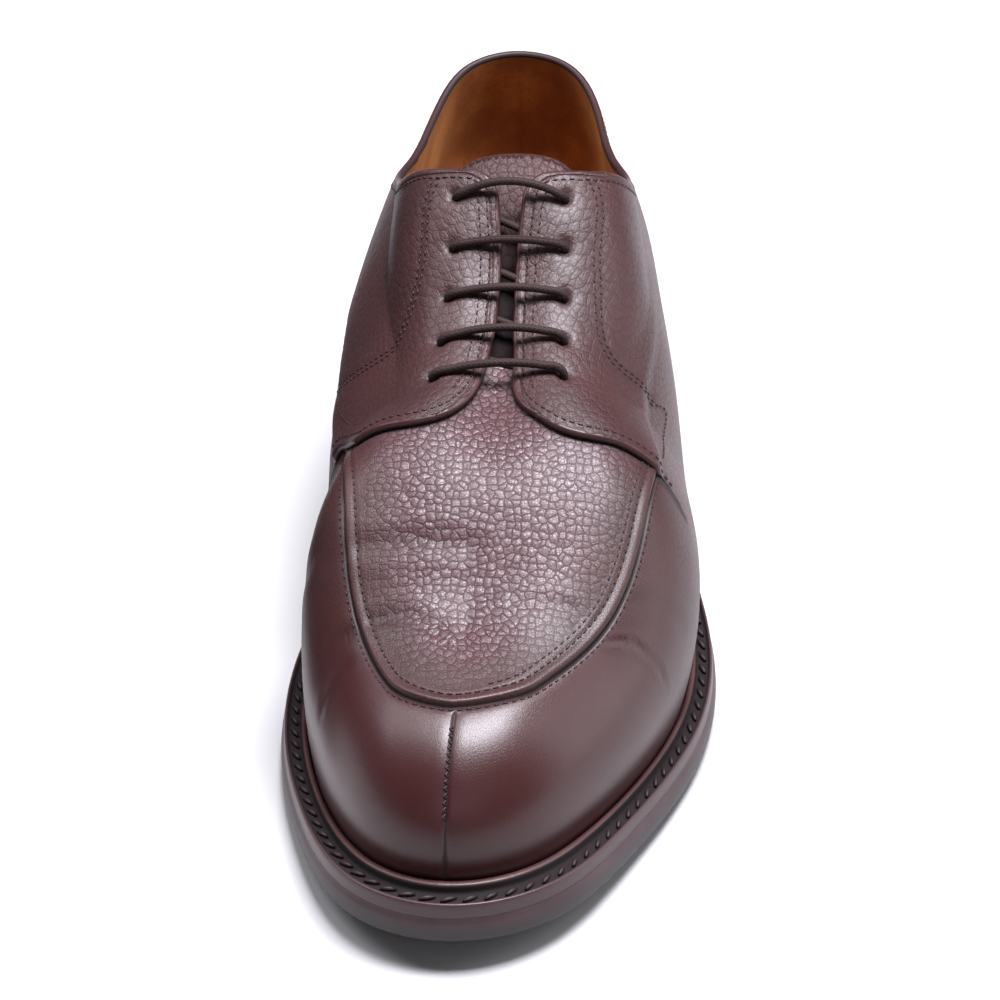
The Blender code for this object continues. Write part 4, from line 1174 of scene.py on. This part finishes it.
rings = np.stack(rings + rings[:1], axis=1)
welt_grid = lay_grid(bm, np.concatenate([rings, rings[:1]]))
paint(bm, welt_grid, across=np.append(welt_share, welt_share[0])[None, :])
storm_welt = finish_piece("storm_welt", bm, welt_leather, "welt_leather", "welt")

# %% Sole and heel
SOLE_SIDE, TREAD_STEP, TREAD_INSET = 10.5, 2.1, 4.5
HEEL_BREAST, HEEL_TAPER, TOP_PIECE_HEIGHT, PIECE_GAP = 8.35, 1.6, 6.5, 0.3
SOLE_EDGE = table("grow down", (0.1, 3.45), (0.2, 3.75), (0.4, 4.4), (0.8, 5.5), (1.0, 7.4), (0.9, 9.2),
                  (0.5, 10.2), (-0.3, 10.5))


def beyond_welt(grow):
    return lambda s: welt_margin(s) + grow


def under_rim(down):
    return lambda s: rim(s) - down


def pad_bottom(s):
    """The tread, which runs into the underside of the sole before the heel."""
    return np.minimum(tread(s), rim(s) - SOLE_SIDE)


def pad_top(s):
    return np.minimum(pad_bottom(s) + TREAD_STEP, rim(s) - SOLE_SIDE)


edge_knots = np.arange(len(SOLE_EDGE["grow"]))
sole_grow, sole_down = (
    smooth(edge_knots, SOLE_EDGE[column])(np.linspace(0, edge_knots[-1], 25)) for column in ("grow", "down")
)
bm = new_skin("down")
wall, _ = loft(bm, whole_stations(300), [
    *((beyond_welt(grow), under_rim(down)) for grow, down in zip(sole_grow, sole_down)),
    (beyond_welt(-TREAD_INSET), pad_top), (beyond_welt(-TREAD_INSET - 0.3), pad_bottom),
])
paint(bm, wall, down=np.append(sole_down, (12, 13))[None, :])
finish_piece("rubber_sole", bm, sole_rubber, "sole_rubber", "outsole", sharp=40)

joint = 0.2 - HEEL_TAPER * 0.6               # how far the heel stands out where its two parts meet
bm = bmesh.new()
loft(bm, heel_stations(120), [
    (beyond_welt(0.2), under_rim(SOLE_SIDE + PIECE_GAP)),
    (beyond_welt(joint), TOP_PIECE_HEIGHT + PIECE_GAP),
])
finish_piece("heel_stack", bm, heel_rubber, "heel_rubber", "heel_block", sharp=40)
bm = bmesh.new()
loft(bm, heel_stations(120), [
    (beyond_welt(joint - 0.15), TOP_PIECE_HEIGHT), (beyond_welt(joint), TOP_PIECE_HEIGHT - 0.15),
    (beyond_welt(joint - 0.2), 1.2), (beyond_welt(joint - 0.5), 0.5), (beyond_welt(-0.4 - HEEL_TAPER), 0.0),
])
finish_piece("top_piece", bm, sole_rubber, "sole_rubber", "heel_top_piece", sharp=40)

# %% [markdown]
# ## Laces
#
# A round waxed lace crosses the gap as five straight bars. Out of sight, on top of the
# tongue, it slants from the outer end of one bar to the inner end of the next, and its two
# ends stop under the top eyelets. A bar takes the lowest arch that clears the facings, and
# the top bar is slack.

# %% Laces
LACE_RADIUS, LACE_REST = 1.05, 0.1           # a bar may sink this far into soft leather
LACE_IN_HOLE = table("inward level", (0, -2.65), (0, -0.8), (0.5, 0.35), (1.6, 1.0))
LACE_UNDER = -2.5
TOP_BAR_HUMP = 1.6
TOP_EYELET = len(EYELETS["s"]) - 1


def lace_point(side, place, inward, level):
    """A point of the lace. place counts eyelets up the facing, in parts of one too."""
    lower = min(int(place), TOP_EYELET - 1)
    share = place - lower
    (w0, up0), (w1, up1) = eyelet_rows[side, lower], eyelet_rows[side, lower + 1]
    w = w0 * (1 - share) + w1 * share
    from_ridge = (read_map(map_length, w0) - up0) * (1 - share) + (read_map(map_length, w1) - up1) * share
    up = read_map(map_length, w) - from_ridge + inward
    lift = FLAP_STEP * max(0.0, 1 - (abs(w) - 5) / FLAP_FADE)
    return off_skin(w, up, lift + level)


def tree_of(piece):
    return BVHTree.FromObject(piece, bpy.context.evaluated_depsgraph_get())


leather_tree = tree_of(upper_skin)


def above_leather(spot):
    """Height of a point over the outer skin, in millimetres."""
    found, normal, _, off = leather_tree.find_nearest(Vector(world(spot)))
    return math.copysign(off / MM, (Vector(world(spot)) - found).dot(normal))


def out_of_hole(side, number):
    return [lace_point(side, number, *step) for step in zip(LACE_IN_HOLE["inward"], LACE_IN_HOLE["level"])]


def bar(number):
    """One bar: out of the inner hole, in the lowest arch that clears the facings, and into the outer."""
    rising, falling = out_of_hole(-1, number), out_of_hole(1, number)[::-1]
    shares = np.linspace(0, 1, 11)[1:-1, None]

    def arch(bow):
        straight = rising[-1] * (1 - shares) + falling[0] * shares
        return straight + np.array([0, 0, 1.0]) * bow * 4 * shares * (1 - shares)

    for bow in np.arange(0.0, 4.0, 0.1):
        if min(above_leather(spot) for spot in arch(bow)) > LACE_RADIUS - LACE_REST:
            break
    bow += TOP_BAR_HUMP if number == TOP_EYELET else 0.0
    print("bar", number, "bows", round(float(bow), 1), "mm")
    return [*rising, *arch(bow), *falling]


def lace_route():
    """Middle line of the lace: down the inner side under the facing, then bar by bar to the top."""
    route = [lace_point(-1, place, -3.6, LACE_UNDER) for place in np.linspace(TOP_EYELET, 0.2, 12)]
    route.append(lace_point(-1, 0, -1.6, LACE_UNDER))
    for number in range(TOP_EYELET + 1):
        route += bar(number)
        if number < TOP_EYELET:
            start = lace_point(1, number + 0.2, 0.5, LACE_UNDER)
            end = lace_point(-1, number + 0.8, 0.5, LACE_UNDER)
            route += [start * (1 - share) + end * share for share in (0, 0.25, 0.5, 0.75, 1)]
    route += [lace_point(1, TOP_EYELET, inward, LACE_UNDER) for inward in (-1.2, -4.0)]
    return np.array(route)


def tube(bm, route, radius, around, spacing):
    """A round cord along a route. It returns its grid and the length of cord at each ring."""
    reach = lengths_along(route)
    even = np.linspace(0, reach[-1], round(reach[-1] / spacing))
    middle = spline(reach, route)(even)
    run = unit(np.gradient(middle, axis=0))
    across = np.cross(run[0], (0.0, 0.0, 1.0))
    frames = []
    for direction in run:
        across = unit(across - direction * (across @ direction))
        frames.append((across, np.cross(direction, across)))
    frames = np.array(frames)
    angle = np.linspace(0, 2 * math.pi, around + 1)[:-1]
    ring = frames[:, 0, None, :] * np.cos(angle)[:, None] + frames[:, 1, None, :] * np.sin(angle)[:, None]
    places = middle[:, None, :] + ring * radius
    return lay_grid(bm, np.concatenate([places, places[:, :1]], axis=1)), even, angle


bm = new_skin("along", "turn")
lace_grid, lace_along, lace_turn = tube(bm, lace_route(), LACE_RADIUS, 20, 0.45)
paint(bm, lace_grid, along=lace_along[:, None], turn=np.append(lace_turn, lace_turn[0])[None, :])
finish_piece("lace", bm, waxed_cotton, "waxed_lace", "laces")
print("lace:", round(float(lace_along[-1])), "mm long")

# %% [markdown]
# ## Stitches
#
# Machine rows run along every folded edge, two side by side down the facings and where the
# quarters are joined, and the apron has a row on each side of its seam. The toe seam is
# crossed by hand stitches, and the welt's thread is thick. A row is a path near the
# leather; each stitch is set on the nearest place of the finished skin.

# %% Sewing
def even_path(points, spacing):
    """Evenly spaced points along a path."""
    points = np.asarray(points, float)
    reach = lengths_along(points)
    even = np.linspace(0, reach[-1], max(2, round(reach[-1] / spacing)) + 1)
    return np.stack([np.interp(even, reach, points[:, k]) for k in range(3)], axis=1)


def sew(bm, ground, path, pitch, length, radius, sink=0.25, slant=0.0):
    """A row of stitches on a piece. Lengths in millimetres; slant turns each one, in degrees."""
    spots = world(even_path(path, pitch))
    for k in range(len(spots) - 1):
        found, normal, _, _ = ground.find_nearest(Vector((spots[k] + spots[k + 1]) / 2))
        run = Vector(spots[k + 1] - spots[k])
        run = (run - normal * run.dot(normal)).normalized()
        run.rotate(Matrix.Rotation(math.radians(slant), 3, normal))
        spot = found + normal * (radius * (1 - 2 * sink)) * MM
        turned = Matrix((run, normal.cross(run), normal)).transposed().to_4x4()
        placed = Matrix.Translation(spot) @ turned
        size = Matrix.Diagonal((length / 2 * MM, radius * MM, radius * MM, 1))
        bmesh.ops.create_icosphere(bm, subdivisions=1, radius=1, matrix=placed @ size)
    return len(spots) - 1


def seam_row(aside, start, end):
    """A path beside the apron's seam."""
    w = np.linspace(start, end, 300)
    return skin(w, read_map(map_seam, w) + aside)


def on_quarter(line):
    """A path along a quarter, from places (w, up)."""
    w, up = line.T
    return off_skin(w, up, flap_level(w, up) + 0.3)


def beside_edge(first, last, inside):
    """A path a few millimetres inside the folded edge, between two places on it."""
    return (edge_path - away_from(edge_path, edge_out) * inside + edge_out * 0.6)[first:last]


# %% Machine stitches
EDGE_ROW, FACING_ROW, ROW_GAP = 1.9, 4.2, 1.9       # in from an edge, and from row to row
FACING_CELLS, EDGE_START, THROAT_START = 58, 8, 4   # counted along the folded edge
LOWER_ROWS = (
    # (w, up) of the rows that run from the quarter's seam round its lower corner
    ((5.76, 56), (5.86, 50.8), (5.6, 51.5), (5.3, 54), (5.02, 57.2)),
    ((-6.36, 47.5), (-6.05, 48.5), (-5.75, 51), (-5.5, 54.5)),
)
heel_place = int(np.argmax(edge_path[:, 1]))
throat = front_count + THROAT_START, len(edge_path) - front_count - THROAT_START
machine_rows = [
    # path, pitch, stitch length and thread radius
    (seam_row(-1.6, -5.25, 4.62), 2.2, 1.5, 0.24), (seam_row(3.0, -5.3, 4.7), 2.2, 1.7, 0.24),
    (seam_row(4.75, 0.9, 4.7), 2.2, 1.5, 0.22),
    *((beside_edge(*run), 2.2, 1.6, 0.24) for run in (
        (EDGE_START, heel_place, EDGE_ROW), (heel_place, len(edge_path) - EDGE_START, EDGE_ROW),
        (throat[0], throat[0] + FACING_CELLS, FACING_ROW), (throat[1] - FACING_CELLS, throat[1], FACING_ROW),
    )),
]
for side, line in seam_lines.items():
    places = on_quarter(line)
    away = away_from(places, outward(*line.T))
    machine_rows += [(places - away * offset * side, 2.1, 1.5, 0.23) for offset in (0.0, ROW_GAP)]
machine_rows += [(on_quarter(line_on_skin(row)), 2.1, 1.5, 0.23) for row in LOWER_ROWS]
bm = bmesh.new()
sewn = sum(sew(bm, leather_tree, *row) for row in machine_rows)
sewn += sew(bm, tree_of(tongue_skin), tongue_outer[-9, 4:-4], 2.1, 1.5, 0.22)
finish_piece("upper_stitches", bm, thread, "waxed_lace")
print("machine stitches:", sewn)

# %% Toe seam and welt stitches
bm = bmesh.new()
toe_path = skin(np.zeros(60), np.linspace(4.5, read_map(map_seam, 0.0) - 2.2, 60))
crossed = sum(
    sew(bm, leather_tree, toe_path[part], 1.7, 2.0, 0.22, slant=slant)
    for part, slant in ((slice(18, -6), 50), (slice(19, -5), -50))
)
finish_piece("toe_stitches", bm, thread, "waxed_lace")
bm = bmesh.new()
w = wrap(np.linspace(-HEEL_ROW, HEEL_ROW, 600))
groove = ring_of(w, lambda s: 0.58 * welt_margin(s), lambda s: rim(s) - 1.6)
welted = sew(bm, tree_of(storm_welt), groove, 5.0, 4.9, 0.65, sink=0.15, slant=24)
finish_piece("welt_stitches", bm, welt_thread, "waxed_lace")
print("toe stitches:", crossed, " welt stitches:", welted)
